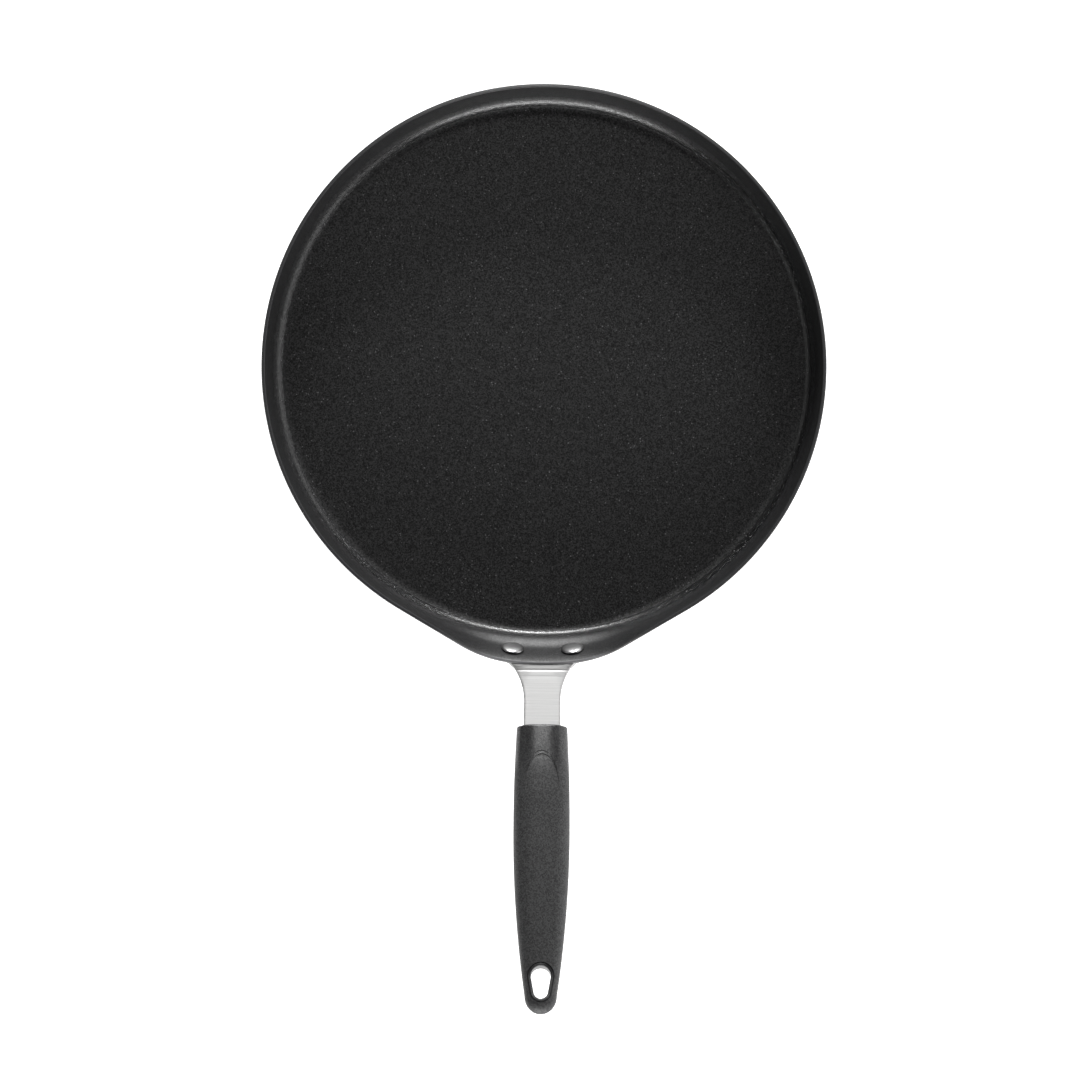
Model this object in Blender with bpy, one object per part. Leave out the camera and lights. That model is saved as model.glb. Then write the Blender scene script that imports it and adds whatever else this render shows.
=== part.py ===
"""Round griddle pan: a pressed pan with a handle lip, a riveted steel bracket and a soft grip.

The pan stands on the XY plane with its centre on the Z axis, and the handle runs towards -Y.
All sizes are in metres and all angles in radians.
"""

import math

import bmesh
import bpy
import numpy as np
from mathutils import Matrix, Vector

# Pressed pan
RIM_RADIUS = 0.1524
RIM_HEIGHT = 0.029
SHEET = 0.002
WALL_LEAN = math.radians(7)
FLOOR_FILLET = 0.009

# Lip of the rim that carries the handle, seen from above
LIP_REACH = 0.0085
LIP_FRONT_HALF_WIDTH = 0.0157
LIP_CORNER = 0.070

# Lip in section: leans are from upright, and the seat is the flat band that the rivets sit on
LIP_FOOT_LEAN = math.radians(13)
SEAT_LEAN = math.radians(24)
LIP_RIM_LEAN = math.radians(60)
SEAT_BELOW_RIM = 0.011
SEAT_OUT = 0.0050
SEAT_HALF_LENGTH = 0.0055

# Clearance between pieces that touch
FIT = 0.0003

# Rivets
RIVET_SPACING = 0.0324
RIVET_HEAD_RADIUS = 0.0062
RIVET_HEAD_HEIGHT = 0.0022
RIVET_SHANK_RADIUS = 0.003
RIVET_TAIL_RADIUS = 0.005
RIVET_TAIL_HEIGHT = 0.0019
RIVET_EDGE = 0.0004

# Steel bracket: a plate behind the lip, a bend, a short shelf, a knee and the strap
PLATE_BESIDE_RIVETS = 0.0078
PLATE_BELOW_RIVETS = 0.010
PLATE_ABOVE_RIVETS = 0.0085
PLATE_FOOT_CORNER = 0.008
PLATE_TOP_CORNER = 0.004
STRAP_THICKNESS = 0.0025
STRAP_HALF_WIDTH = 0.0098
STRAP_FLARE = 0.018
STRAP_EDGE = 0.0005
STRAP_EDGE_ANGLE = math.radians(60)
BEND_RADIUS = 0.004
SHELF_SLOPE = math.radians(12)
SHELF_LENGTH = 0.0051
KNEE_RADIUS = 0.010
FLARE_RUNOUT = 0.006
HANDLE_RISE = math.radians(14)
NECK_LENGTH = 0.0335
SHOULDER_DEPTH = 0.002
SHOULDER_TAPER = 0.004
TANG_HALF_WIDTH = 0.0075
TANG_TO_HANG_HOLE = 0.029
TANG_TIP_FLAT = 0.0015
LOCK_HOLE_RADIUS = 0.003
LOCK_HOLE_FROM_GRIP_FRONT = 0.028
LOCK_HOLE_FROM_TANG_END = 0.022

# Grip: half width, height above and depth below its axis at the front, the belly and the tip
GRIP_LENGTH = 0.154
GRIP_BESIDE_STRAP = 0.0038
GRIP_FRONT = (STRAP_HALF_WIDTH + GRIP_BESIDE_STRAP, 0.0085, 0.0090)
GRIP_BELLY = (0.0151, 0.0096, 0.0125)
GRIP_TIP = (0.0086, 0.0066, 0.0068)
GRIP_BELLY_AT = 0.056
GRIP_TIP_ROUND = 0.0095
GRIP_FRONT_FLARE = 0.055
GRIP_TIP_TAPER = 0.145
GRIP_TIP_THINNING = 0.048
GRIP_EDGE = 0.0014
GRIP_SQUARENESS = 2.5
SLEEVE_WALL = 0.0025
CORE_NOSE = 0.0008
CORE_EDGE = 0.0005

# Hang hole: a teardrop with its wide end towards the pan, in an eyelet of the core
HOLE_FROM_TIP = 0.0197
HOLE_SPAN = 0.0099
HOLE_WIDE_RADIUS = 0.0053
HOLE_NARROW_RADIUS = 0.0038
EYELET_RIM = 0.0018
EYELET_SUNK = 0.0005

# Thumb scoop in the top of the sleeve
SCOOP_AT = 0.0149
SCOOP_NOSE = 0.018
SCOOP_HALF_WIDTH = 0.009
SCOOP_LENGTH = 0.042
SCOOP_DEPTH = 0.0012
SCOOP_RUNOUT = 0.0003
SCOOP_RISE_POWER = 1.3
SCOOP_HOLLOW_RADIUS = 0.060

# How finely the round shapes are divided
LIP_COLUMNS = 32
BACK_COLUMNS = 60
FILLET_STEPS = 6
WALL_STEPS = 3
RIM_EDGE_STEPS = 5
TURNED_SIDES = 24
DOME_STEPS = 5
CORNER_STEPS = 5
BEND_STEPS = 10
KNEE_STEPS = 3
STRAP_COLUMNS = 6
GRIP_SIDES = 28
GRIP_STATIONS = 18
GRIP_EDGE_STEPS = 3
GRIP_TIP_STEPS = 6
HOLE_ARC_STEPS = 14
SCOOP_NOSE_STEPS = 8
SCOOP_COLUMNS = 6
SHARP_ANGLE = math.radians(35)


def clear_scene():
    for item in list(bpy.data.objects):
        bpy.data.objects.remove(item, do_unlink=True)


def finish_material(name, color, roughness, metallic):
    """A plain surface finish."""
    finish = bpy.data.materials.new(name)
    finish.use_nodes = True
    shader = finish.node_tree.nodes["Principled BSDF"]
    shader.inputs["Base Color"].default_value = (*color, 1.0)
    shader.inputs["Roughness"].default_value = roughness
    shader.inputs["Metallic"].default_value = metallic
    return finish


def mix(a, b, share):
    return a + (b - a) * share


def hermite(a, b, slope_a, slope_b, t):
    """Cubic from a to b whose slopes with t are slope_a and slope_b."""
    near = 2 * t**3 - 3 * t**2 + 1
    far = 3 * t**2 - 2 * t**3
    return near * a + far * b + (t**3 - 2 * t**2 + t) * slope_a + (t**3 - t**2) * slope_b


def loft_mesh(name, rings, first_pole=None, last_pole=None):
    """Closed skin through rings of equal count, each end closed by a pole or by one flat face."""
    shape = bmesh.new()
    rows = [[shape.verts.new(point) for point in ring] for ring in rings]
    sides = len(rows[0])
    for lower, upper in zip(rows, rows[1:]):
        for i in range(sides):
            j = (i + 1) % sides
            shape.faces.new((lower[i], lower[j], upper[j], upper[i]))
    for row, pole in ((rows[0], first_pole), (rows[-1], last_pole)):
        if pole is None:
            shape.faces.new(row)
            continue
        tip = shape.verts.new(pole)
        for i in range(sides):
            shape.faces.new((row[i], row[(i + 1) % sides], tip))
    bmesh.ops.recalc_face_normals(shape, faces=shape.faces)
    mesh = bpy.data.meshes.new(name)
    shape.to_mesh(mesh)
    shape.free()
    return mesh


def add_piece(name, mesh, finish):
    """Puts a mesh in the scene as a named piece with its finish."""
    mesh.materials.clear()
    mesh.materials.append(finish)
    piece = bpy.data.objects.new(name, mesh)
    bpy.context.collection.objects.link(piece)
    return piece


def add_cutter(name, mesh):
    """A construction solid that is not part of the product."""
    cutter = bpy.data.objects.new(name, mesh)
    bpy.context.collection.objects.link(cutter)
    cutter.hide_render = True
    cutter.display_type = "WIRE"
    return cutter


def combine(piece, other, operation="DIFFERENCE"):
    step = piece.modifiers.new(f"{operation.title()} {other.name}", "BOOLEAN")
    step.operation = operation
    step.object = other
    step.solver = "EXACT"
    return step


def shading_tree():
    """Node tree that shades faces smooth and keeps edges sharp past an angle."""
    tree = bpy.data.node_groups.new("Smooth by angle", "GeometryNodeTree")
    tree.interface.new_socket("Geometry", in_out="INPUT", socket_type="NodeSocketGeometry")
    limit = tree.interface.new_socket("Angle", in_out="INPUT", socket_type="NodeSocketFloat")
    limit.subtype = "ANGLE"
    limit.default_value = SHARP_ANGLE
    tree.interface.new_socket("Geometry", in_out="OUTPUT", socket_type="NodeSocketGeometry")
    start = tree.nodes.new("NodeGroupInput")
    faces = tree.nodes.new("GeometryNodeSetShadeSmooth")
    edges = tree.nodes.new("GeometryNodeSetShadeSmooth")
    edges.domain = "EDGE"
    edges.inputs["Shade Smooth"].default_value = False
    fold = tree.nodes.new("GeometryNodeInputMeshEdgeAngle")
    sharper = tree.nodes.new("FunctionNodeCompare")
    end = tree.nodes.new("NodeGroupOutput")
    tree.links.new(start.outputs["Geometry"], faces.inputs["Geometry"])
    tree.links.new(fold.outputs["Unsigned Angle"], sharper.inputs["A"])
    tree.links.new(start.outputs["Angle"], sharper.inputs["B"])
    tree.links.new(faces.outputs["Geometry"], edges.inputs["Geometry"])
    tree.links.new(sharper.outputs["Result"], edges.inputs["Selection"])
    tree.links.new(edges.outputs["Geometry"], end.inputs["Geometry"])
    return tree


def shade_pieces(pieces):
    tree = shading_tree()
    for piece in pieces:
        piece.modifiers.new("Smooth by angle", "NODES").node_group = tree


def turned_mesh(name, profile):
    """Solid of revolution about local Z from (radius, height) points that start and end on the axis."""
    turns = [2 * math.pi * i / TURNED_SIDES for i in range(TURNED_SIDES)]
    rings = [
        [(radius * math.cos(turn), radius * math.sin(turn), height) for turn in turns]
        for radius, height in profile[1:-1]
    ]
    return loft_mesh(name, rings, (0, 0, profile[0][1]), (0, 0, profile[-1][1]))


# Pan


def lip_front_angle():
    """Angle off the handle's direction at which the lip's front arc ends."""
    return math.asin(LIP_FRONT_HALF_WIDTH / (RIM_RADIUS + LIP_REACH))


def flank_angle():
    """Angle off the handle's direction at which the lip's straight flank leaves the round rim."""
    inner = RIM_RADIUS - LIP_CORNER
    return lip_front_angle() + math.acos(inner / (inner + LIP_REACH))


def rim_reach(angle):
    """How far the rim stands past its circle: a front arc, a round corner, a straight flank."""
    off = abs(angle)
    front = lip_front_angle()
    flank = flank_angle()
    centre = RIM_RADIUS + LIP_REACH - LIP_CORNER
    corner_end = flank - math.atan(centre * math.sin(flank - front) / RIM_RADIUS)
    if off <= front:
        return LIP_REACH
    if off < corner_end:
        turn = off - front
        beyond = math.sqrt(LIP_CORNER**2 - (centre * math.sin(turn)) ** 2)
        return centre * math.cos(turn) + beyond - RIM_RADIUS
    if off < flank:
        return RIM_RADIUS / math.cos(flank - off) - RIM_RADIUS
    return 0.0


def seat_height():
    return RIM_HEIGHT - SEAT_BELOW_RIM


def floor_fillet():
    """Inside radius of the floor's corner, kept below the seat band of the lip."""
    room = seat_height() - SEAT_HALF_LENGTH - SHEET
    return min(FLOOR_FILLET, room / (1 - math.sin(LIP_FOOT_LEAN)))


def plain_wall_foot():
    """(radius, height) where the plain wall leaves the inside fillet."""
    rim_radius = RIM_RADIUS - SHEET / 2 * (1 + math.cos(WALL_LEAN))
    rim_height = RIM_HEIGHT - SHEET / 2 * (1 - math.sin(WALL_LEAN))
    height = SHEET + floor_fillet() * (1 - math.sin(WALL_LEAN))
    return rim_radius - (rim_height - height) * math.tan(WALL_LEAN), height


def floor_radius():
    """Radius of the flat cooking floor."""
    return plain_wall_foot()[0] - floor_fillet() * math.cos(WALL_LEAN)


def seat_point(share=1.0):
    """(radius, height) of the inner face at rivet height, from the plain wall to the lip."""
    foot_radius, foot_height = plain_wall_foot()
    plain = foot_radius + (seat_height() - foot_height) * math.tan(WALL_LEAN)
    return plain + SEAT_OUT * share, seat_height()


def up_the_wall(lean):
    return np.array((math.sin(lean), math.cos(lean)))


def out_of_wall(lean):
    return np.array((math.cos(lean), -math.sin(lean)))


def curve_between(start, start_lean, end, end_lean, steps):
    """(point, lean) along a smooth curve that leaves and arrives at the given leans."""
    span = np.linalg.norm(end - start)
    points = []
    for k in range(1, steps + 1):
        t = k / steps
        leave = up_the_wall(start_lean) * span
        arrive = up_the_wall(end_lean) * span
        point = hermite(start, end, leave, arrive, t)
        ahead = hermite(start, end, leave, arrive, t + 0.001)
        behind = hermite(start, end, leave, arrive, t - 0.001)
        points.append((point, math.atan2(*(ahead - behind))))
    return points


def inner_section(reach):
    """(point, lean) up the pan's inner face, from the floor's edge to the rim."""
    share = reach / LIP_REACH
    foot_lean = mix(WALL_LEAN, LIP_FOOT_LEAN, share)
    seat_lean = mix(WALL_LEAN, SEAT_LEAN, share)
    rim_lean = mix(WALL_LEAN, LIP_RIM_LEAN, share)
    fillet = floor_fillet()
    fillet_centre = np.array((floor_radius(), SHEET + fillet))
    section = []
    for k in range(FILLET_STEPS + 1):
        lean = mix(math.pi / 2, foot_lean, k / FILLET_STEPS)
        section.append((fillet_centre + fillet * out_of_wall(lean), lean))
    seat = np.array(seat_point(share))
    seat_start = seat - SEAT_HALF_LENGTH * up_the_wall(seat_lean)
    seat_end = seat + SEAT_HALF_LENGTH * up_the_wall(seat_lean)
    rim_centre = np.array((RIM_RADIUS + reach - SHEET / 2, RIM_HEIGHT - SHEET / 2))
    rim = rim_centre - SHEET / 2 * out_of_wall(rim_lean)
    section += curve_between(section[-1][0], foot_lean, seat_start, seat_lean, WALL_STEPS)
    section.append((seat_end, seat_lean))
    section += curve_between(seat_end, seat_lean, rim, rim_lean, WALL_STEPS)
    return section


def pan_section(reach):
    """(radius, height) round the sheet, over the rounded rim and back down the outer face."""
    inner = inner_section(reach)
    rim, lean = inner[-1]
    centre = rim + SHEET / 2 * out_of_wall(lean)
    edge = []
    for k in range(1, RIM_EDGE_STEPS):
        turn = math.pi * k / RIM_EDGE_STEPS
        spoke = math.sin(turn) * up_the_wall(lean) - math.cos(turn) * out_of_wall(lean)
        edge.append(centre + SHEET / 2 * spoke)
    outer = [point + SHEET * out_of_wall(lean) for point, lean in reversed(inner)]
    return [point for point, _ in inner] + edge + outer


def rim_angles():
    """Angles off the handle's direction for the pan's columns, closest together across the lip."""
    flank = flank_angle()
    lip = [mix(-flank, flank, k / LIP_COLUMNS) for k in range(LIP_COLUMNS)]
    back = [mix(flank, 2 * math.pi - flank, k / BACK_COLUMNS) for k in range(BACK_COLUMNS)]
    return lip + back


def make_body(finish):
    angles = rim_angles()
    wrapped = [(angle + math.pi) % (2 * math.pi) - math.pi for angle in angles]
    sections = [pan_section(rim_reach(angle)) for angle in wrapped]
    rings = []
    for k in range(len(sections[0])):
        ring = []
        for angle, section in zip(wrapped, sections):
            radius, height = section[k]
            ring.append((radius * math.sin(angle), -radius * math.cos(angle), height))
        rings.append(ring)
    mesh = loft_mesh("griddle_body", rings, (0, 0, SHEET), (0, 0, 0))
    return add_piece("griddle_body", mesh, finish)


# Rivets


def rivet_place(side):
    """Rivet frame: origin on the lip's inner face, local Z into the pan, square to the seat."""
    radius, height = seat_point()
    angle = side * math.asin(RIVET_SPACING / 2 / radius)
    outward = Vector((math.sin(angle), -math.cos(angle), 0))
    along = Vector((math.cos(angle), math.sin(angle), 0))
    axis = -outward * math.cos(SEAT_LEAN) + Vector((0, 0, math.sin(SEAT_LEAN)))
    place = Matrix((along, axis.cross(along), axis)).transposed().to_4x4()
    place.translation = outward * radius + Vector((0, 0, height))
    return place


def dome(radius, height, base, direction):
    """(radius, height) from the middle of a domed head out to its edge."""
    points = []
    for k in range(DOME_STEPS + 1):
        turn = math.pi / 2 * k / DOME_STEPS
        points.append((radius * math.sin(turn), base + direction * height * math.cos(turn)))
    return points


def rivet_mesh():
    """One rivet: domed head inside the pan, shank through wall and plate, formed tail outside."""
    head_base = FIT
    tail_base = -(SHEET + FIT + STRAP_THICKNESS + FIT)
    head = dome(RIVET_HEAD_RADIUS, RIVET_HEAD_HEIGHT - RIVET_EDGE, head_base + RIVET_EDGE, 1)
    tail = dome(RIVET_TAIL_RADIUS, RIVET_TAIL_HEIGHT - RIVET_EDGE, tail_base - RIVET_EDGE, -1)
    middle = [
        (RIVET_HEAD_RADIUS, head_base),
        (RIVET_SHANK_RADIUS, head_base),
        (RIVET_SHANK_RADIUS, tail_base),
        (RIVET_TAIL_RADIUS, tail_base),
    ]
    return turned_mesh("rivet", head + middle + tail[::-1])


def make_rivets(finish):
    mesh = rivet_mesh()
    rivets = []
    for name, side in (("rivet_left", -1), ("rivet_right", 1)):
        rivet = add_piece(name, mesh, finish)
        rivet.matrix_world = rivet_place(side)
        rivets.append(rivet)
    return rivets


def post_mesh(name, radius):
    """Plain round post that reaches twice through wall and plate, for a bore or a lock hole."""
    reach = 2 * (SHEET + STRAP_THICKNESS)
    return turned_mesh(name, [(0, reach), (radius, reach), (radius, -reach), (0, -reach)])


def drill_rivet_holes(pieces):
    bore = post_mesh("rivet_bore", RIVET_SHANK_RADIUS + FIT)
    for side in (-1, 1):
        cutter = add_cutter(f"rivet_bore_{'right' if side > 0 else 'left'}", bore)
        cutter.matrix_world = rivet_place(side)
        for piece in pieces:
            combine(piece, cutter)


# Bracket


def bent_segments():
    """(length, turn) of the strap's upper face from the plate's foot to the end of the knee."""
    bend = math.pi / 2 - SEAT_LEAN - SHELF_SLOPE
    knee = HANDLE_RISE - SHELF_SLOPE
    return [
        (PLATE_BELOW_RIVETS + PLATE_ABOVE_RIVETS, 0.0),
        (BEND_RADIUS * bend, -bend),
        (SHELF_LENGTH, 0.0),
        (KNEE_RADIUS * knee, knee),
    ]


def knee_end():
    """(radius, height) where the strap's straight run to the grip begins."""
    bent = bent_segments()
    return path_point(bent, sum(length for length, _ in bent))[:2]


def tang_length():
    """From the grip's front to a stated distance short of the hang hole."""
    return hole_at() - HOLE_WIDE_RADIUS - TANG_TO_HANG_HOLE


def lock_holes_at():
    return LOCK_HOLE_FROM_GRIP_FRONT, tang_length() - LOCK_HOLE_FROM_TANG_END


def bracket_segments():
    """(length, turn) of the strap's upper face from the plate's foot to the tang's end."""
    neck = (grip_front()[0] - knee_end()[0]) / math.cos(HANDLE_RISE)
    return bent_segments() + [(neck + tang_length(), 0.0)]


def path_start():
    """(radius, height) of the foot of the plate's face that lies against the wall."""
    seat = np.array(seat_point())
    face = seat + (SHEET + FIT) * out_of_wall(SEAT_LEAN)
    return face - PLATE_BELOW_RIVETS * up_the_wall(SEAT_LEAN)


def path_point(segments, distance):
    """(radius, height, slope) at a distance along the strap's upper face."""
    radius, height = path_start()
    slope = math.pi / 2 - SEAT_LEAN
    for length, turn in segments:
        step = min(distance, length)
        angle = turn * step / length
        if turn:
            bend = length / turn
            radius += bend * (math.sin(slope + angle) - math.sin(slope))
            height -= bend * (math.cos(slope + angle) - math.cos(slope))
        else:
            radius += step * math.cos(slope)
            height += step * math.sin(slope)
        slope += angle
        distance -= step
        if distance <= 0:
            break
    return radius, height, slope


def grip_front():
    """(radius, height) where the strap's upper face enters the grip."""
    radius = RIM_RADIUS + LIP_REACH + NECK_LENGTH
    knee_radius, knee_height = knee_end()
    return radius, knee_height + (radius - knee_radius) * math.tan(HANDLE_RISE)


def bracket_half_width(distance, segments):
    """Half width of the flat pattern: round feet, a rounded top, a hollow flare, a strap, a tang."""
    total = sum(length for length, _ in segments)
    grip = total - tang_length()
    plate_half_width = RIVET_SPACING / 2 + PLATE_BESIDE_RIVETS
    flare_end = total - segments[-1][0] + FLARE_RUNOUT
    flare_centre = STRAP_HALF_WIDTH + STRAP_FLARE
    corner_centre = plate_half_width - PLATE_TOP_CORNER
    joined = STRAP_FLARE + PLATE_TOP_CORNER
    across = flare_centre - corner_centre
    corner_at = flare_end - math.sqrt(joined**2 - across**2)
    meet = corner_at + PLATE_TOP_CORNER * (flare_end - corner_at) / joined
    tang_end = total - TANG_HALF_WIDTH
    if distance < PLATE_FOOT_CORNER:
        inset = PLATE_FOOT_CORNER - distance
        rounding = PLATE_FOOT_CORNER - math.sqrt(PLATE_FOOT_CORNER**2 - inset**2)
        return plate_half_width - rounding
    if distance < corner_at:
        return plate_half_width
    if distance < meet:
        past = distance - corner_at
        return corner_centre + math.sqrt(PLATE_TOP_CORNER**2 - past**2)
    if distance < flare_end:
        return flare_centre - math.sqrt(STRAP_FLARE**2 - (flare_end - distance) ** 2)
    taper = (distance - grip - SHOULDER_DEPTH) / SHOULDER_TAPER
    width = mix(STRAP_HALF_WIDTH, TANG_HALF_WIDTH, min(max(taper, 0.0), 1.0))
    if distance > tang_end:
        past = min(distance - tang_end, TANG_HALF_WIDTH)
        return max(math.sqrt(TANG_HALF_WIDTH**2 - past**2), TANG_TIP_FLAT)
    return width


def bracket_stations(segments):
    """Distances along the flat pattern at which a section is needed."""
    total = sum(length for length, _ in segments)
    plate, bend, shelf, knee, _ = [length for length, _ in segments]
    bend_end = plate + bend
    shelf_end = bend_end + shelf
    grip = total - tang_length()
    quarter = [math.pi / 2 * k / CORNER_STEPS for k in range(CORNER_STEPS + 1)]
    feet = [PLATE_FOOT_CORNER * (1 - math.cos(turn)) for turn in quarter]
    bends = [mix(plate, bend_end, k / BEND_STEPS) for k in range(BEND_STEPS + 1)]
    knees = [shelf_end + knee * k / KNEE_STEPS for k in range(KNEE_STEPS + 1)]
    runout = [knees[-1] + FLARE_RUNOUT * k / KNEE_STEPS for k in range(1, KNEE_STEPS + 1)]
    shoulder = [grip + SHOULDER_DEPTH, grip + SHOULDER_DEPTH + SHOULDER_TAPER]
    tip = [total - TANG_HALF_WIDTH * (1 - math.sin(turn)) for turn in quarter]
    return feet + bends + [bend_end + shelf / 2] + knees + runout + shoulder + tip


def bracket_ring(distance, segments):
    """Section across the strap: upper face left to right, lower face back."""
    radius, height, slope = path_point(segments, distance)
    width = bracket_half_width(distance, segments)
    flatness = min(max((distance - segments[0][0]) / segments[1][0], 0.0), 1.0)
    lower = (radius + STRAP_THICKNESS * math.sin(slope), height - STRAP_THICKNESS * math.cos(slope))
    shares = [2 * k / STRAP_COLUMNS - 1 for k in range(STRAP_COLUMNS + 1)]
    ring = []
    for (rho, z), order in (((radius, height), shares), (lower, shares[::-1])):
        for share in order:
            x = share * width
            curved = math.sqrt(rho**2 - x**2)
            ring.append((x, -mix(curved, rho, flatness), z))
    return ring


def make_bracket(finish):
    segments = bracket_segments()
    rings = [bracket_ring(distance, segments) for distance in bracket_stations(segments)]
    bracket = add_piece("handle_bracket", loft_mesh("handle_bracket", rings), finish)
    edge = bracket.modifiers.new("Eased edges", "BEVEL")
    edge.width = STRAP_EDGE
    edge.segments = 2
    edge.limit_method = "ANGLE"
    edge.angle_limit = STRAP_EDGE_ANGLE
    return bracket


# Grip


def hole_at():
    """Distance from the grip's front to the middle of the hang hole's wide end."""
    return GRIP_LENGTH - HOLE_FROM_TIP


def past_grip():
    """Distance from the grip's axis at which a cutter is clear of the grip all round."""
    return 2 * max(GRIP_BELLY)


def grip_place():
    """Grip frame: origin on the strap's middle at the grip's front, X across, Y along, Z up."""
    radius, height = grip_front()
    along = Vector((0, -math.cos(HANDLE_RISE), math.sin(HANDLE_RISE)))
    across = Vector((-1, 0, 0))
    up = across.cross(along)
    place = Matrix((across, along, up)).transposed().to_4x4()
    place.translation = Vector((0, -radius, height)) - up * STRAP_THICKNESS / 2
    return place


def grip_sizes(distance, inset):
    """Half width, height and depth of the grip at a distance from its front, drawn in by inset."""
    tip_at = GRIP_LENGTH - GRIP_TIP_ROUND
    sizes = []
    for index, (front, belly, tip) in enumerate(zip(GRIP_FRONT, GRIP_BELLY, GRIP_TIP)):
        if distance <= GRIP_BELLY_AT:
            span = GRIP_BELLY_AT
            t = max(distance, 0.0) / span
            size = hermite(front, belly, GRIP_FRONT_FLARE * span, 0.0, t)
        else:
            span = tip_at - GRIP_BELLY_AT
            t = (distance - GRIP_BELLY_AT) / span
            taper = GRIP_TIP_TAPER if index == 0 else GRIP_TIP_THINNING
            size = hermite(belly, tip, 0.0, -taper * span, min(t, 1.0))
        sizes.append(size - inset)
    past = (distance - tip_at) / (GRIP_TIP_ROUND - inset)
    if past > 0:
        sizes = [size * math.sqrt(max(1 - past**2, 0.0)) for size in sizes]
    return sizes


def grip_ring(distance, inset, shrink=0.0):
    """Section of the grip: a squared oval, fuller below than above."""
    half_width, height, depth = (size - shrink for size in grip_sizes(distance, inset))
    power = 2 / GRIP_SQUARENESS
    ring = []
    for k in range(GRIP_SIDES):
        turn = 2 * math.pi * k / GRIP_SIDES
        across, up = math.cos(turn), math.sin(turn)
        x = half_width * math.copysign(abs(across) ** power, across)
        z = (height if up > 0 else depth) * math.copysign(abs(up) ** power, up)
        ring.append((x, distance, z))
    return ring


def grip_mesh(name, inset, front, edge):
    """Solid grip form drawn in by inset, from its front face to its round tip."""
    length = GRIP_LENGTH - inset
    tip_at = GRIP_LENGTH - GRIP_TIP_ROUND
    rings = []
    for k in range(GRIP_EDGE_STEPS if edge else 0):
        turn = math.pi / 2 * k / GRIP_EDGE_STEPS
        inward = edge * (1 - math.sin(turn))
        rings.append(grip_ring(front + edge * (1 - math.cos(turn)), inset, inward))
    start = front + edge
    rings += [
        grip_ring(mix(start, tip_at, k / GRIP_STATIONS), inset) for k in range(GRIP_STATIONS)
    ]
    for k in range(GRIP_TIP_STEPS):
        turn = math.pi / 2 * k / GRIP_TIP_STEPS
        rings.append(grip_ring(mix(tip_at, length, math.sin(turn)), inset))
    return loft_mesh(name, rings, None, (0, length, 0))


def teardrop(offset):
    """(across, along) points round the hang hole's outline, grown by offset."""
    wide = HOLE_WIDE_RADIUS + offset
    narrow = HOLE_NARROW_RADIUS + offset
    tangent = math.acos((wide - narrow) / HOLE_SPAN)
    points = []
    for centre, radius, start, end in (
        (hole_at(), wide, tangent, 2 * math.pi - tangent),
        (hole_at() + HOLE_SPAN, narrow, -tangent, tangent),
    ):
        for k in range(HOLE_ARC_STEPS + 1):
            turn = mix(start, end, k / HOLE_ARC_STEPS)
            points.append((radius * math.sin(turn), centre + radius * math.cos(turn)))
    return points


def teardrop_mesh(name, offset):
    outline = teardrop(offset)
    rings = [[(x, y, z) for x, y in outline] for z in (-past_grip(), past_grip())]
    return loft_mesh(name, rings)


def scoop_mesh():
    """Thumb scoop cutter: round nose towards the pan, hollow floor that rises out of the grip."""
    nose = SCOOP_AT + SCOOP_NOSE
    rear = SCOOP_AT + SCOOP_LENGTH
    floor_front = grip_sizes(SCOOP_AT, 0.0)[1] - SCOOP_DEPTH
    floor_rear = grip_sizes(rear, 0.0)[1] + SCOOP_RUNOUT
    rows = []
    for k in range(1, SCOOP_NOSE_STEPS + 1):
        turn = math.pi / 2 * k / SCOOP_NOSE_STEPS
        rows.append((nose - SCOOP_NOSE * math.cos(turn), SCOOP_HALF_WIDTH * math.sin(turn)))
    rows.append((rear, SCOOP_HALF_WIDTH))
    rings = []
    for along, half_width in rows:
        share = (along - SCOOP_AT) / SCOOP_LENGTH
        floor = mix(floor_front, floor_rear, share**SCOOP_RISE_POWER)
        ring = []
        for k in range(SCOOP_COLUMNS + 1):
            x = half_width * (2 * k / SCOOP_COLUMNS - 1)
            ring.append((x, along, floor + x**2 / (2 * SCOOP_HOLLOW_RADIUS)))
        ring += [(half_width, along, past_grip()), (-half_width, along, past_grip())]
        rings.append(ring)
    return loft_mesh("thumb_scoop", rings)


def slot_mesh():
    """Room for the tang in the core, with a post left standing through each lock hole."""
    half_thickness = STRAP_THICKNESS / 2 + FIT
    shoulder = SHOULDER_DEPTH + SHOULDER_TAPER
    rows = (
        (-past_grip(), STRAP_HALF_WIDTH),
        (SHOULDER_DEPTH + FIT, STRAP_HALF_WIDTH),
        (shoulder + FIT, TANG_HALF_WIDTH),
        (tang_length() + FIT, TANG_HALF_WIDTH),
    )
    rings = []
    for along, half_width in rows:
        wide = half_width + FIT
        corners = ((-wide, -1), (wide, -1), (wide, 1), (-wide, 1))
        rings.append([(x, along, side * half_thickness) for x, side in corners])
    return loft_mesh("tang_slot", rings)


def place_in_grip(item, along=0.0):
    item.matrix_world = grip_place() @ Matrix.Translation((0, along, 0))
    return item


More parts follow.
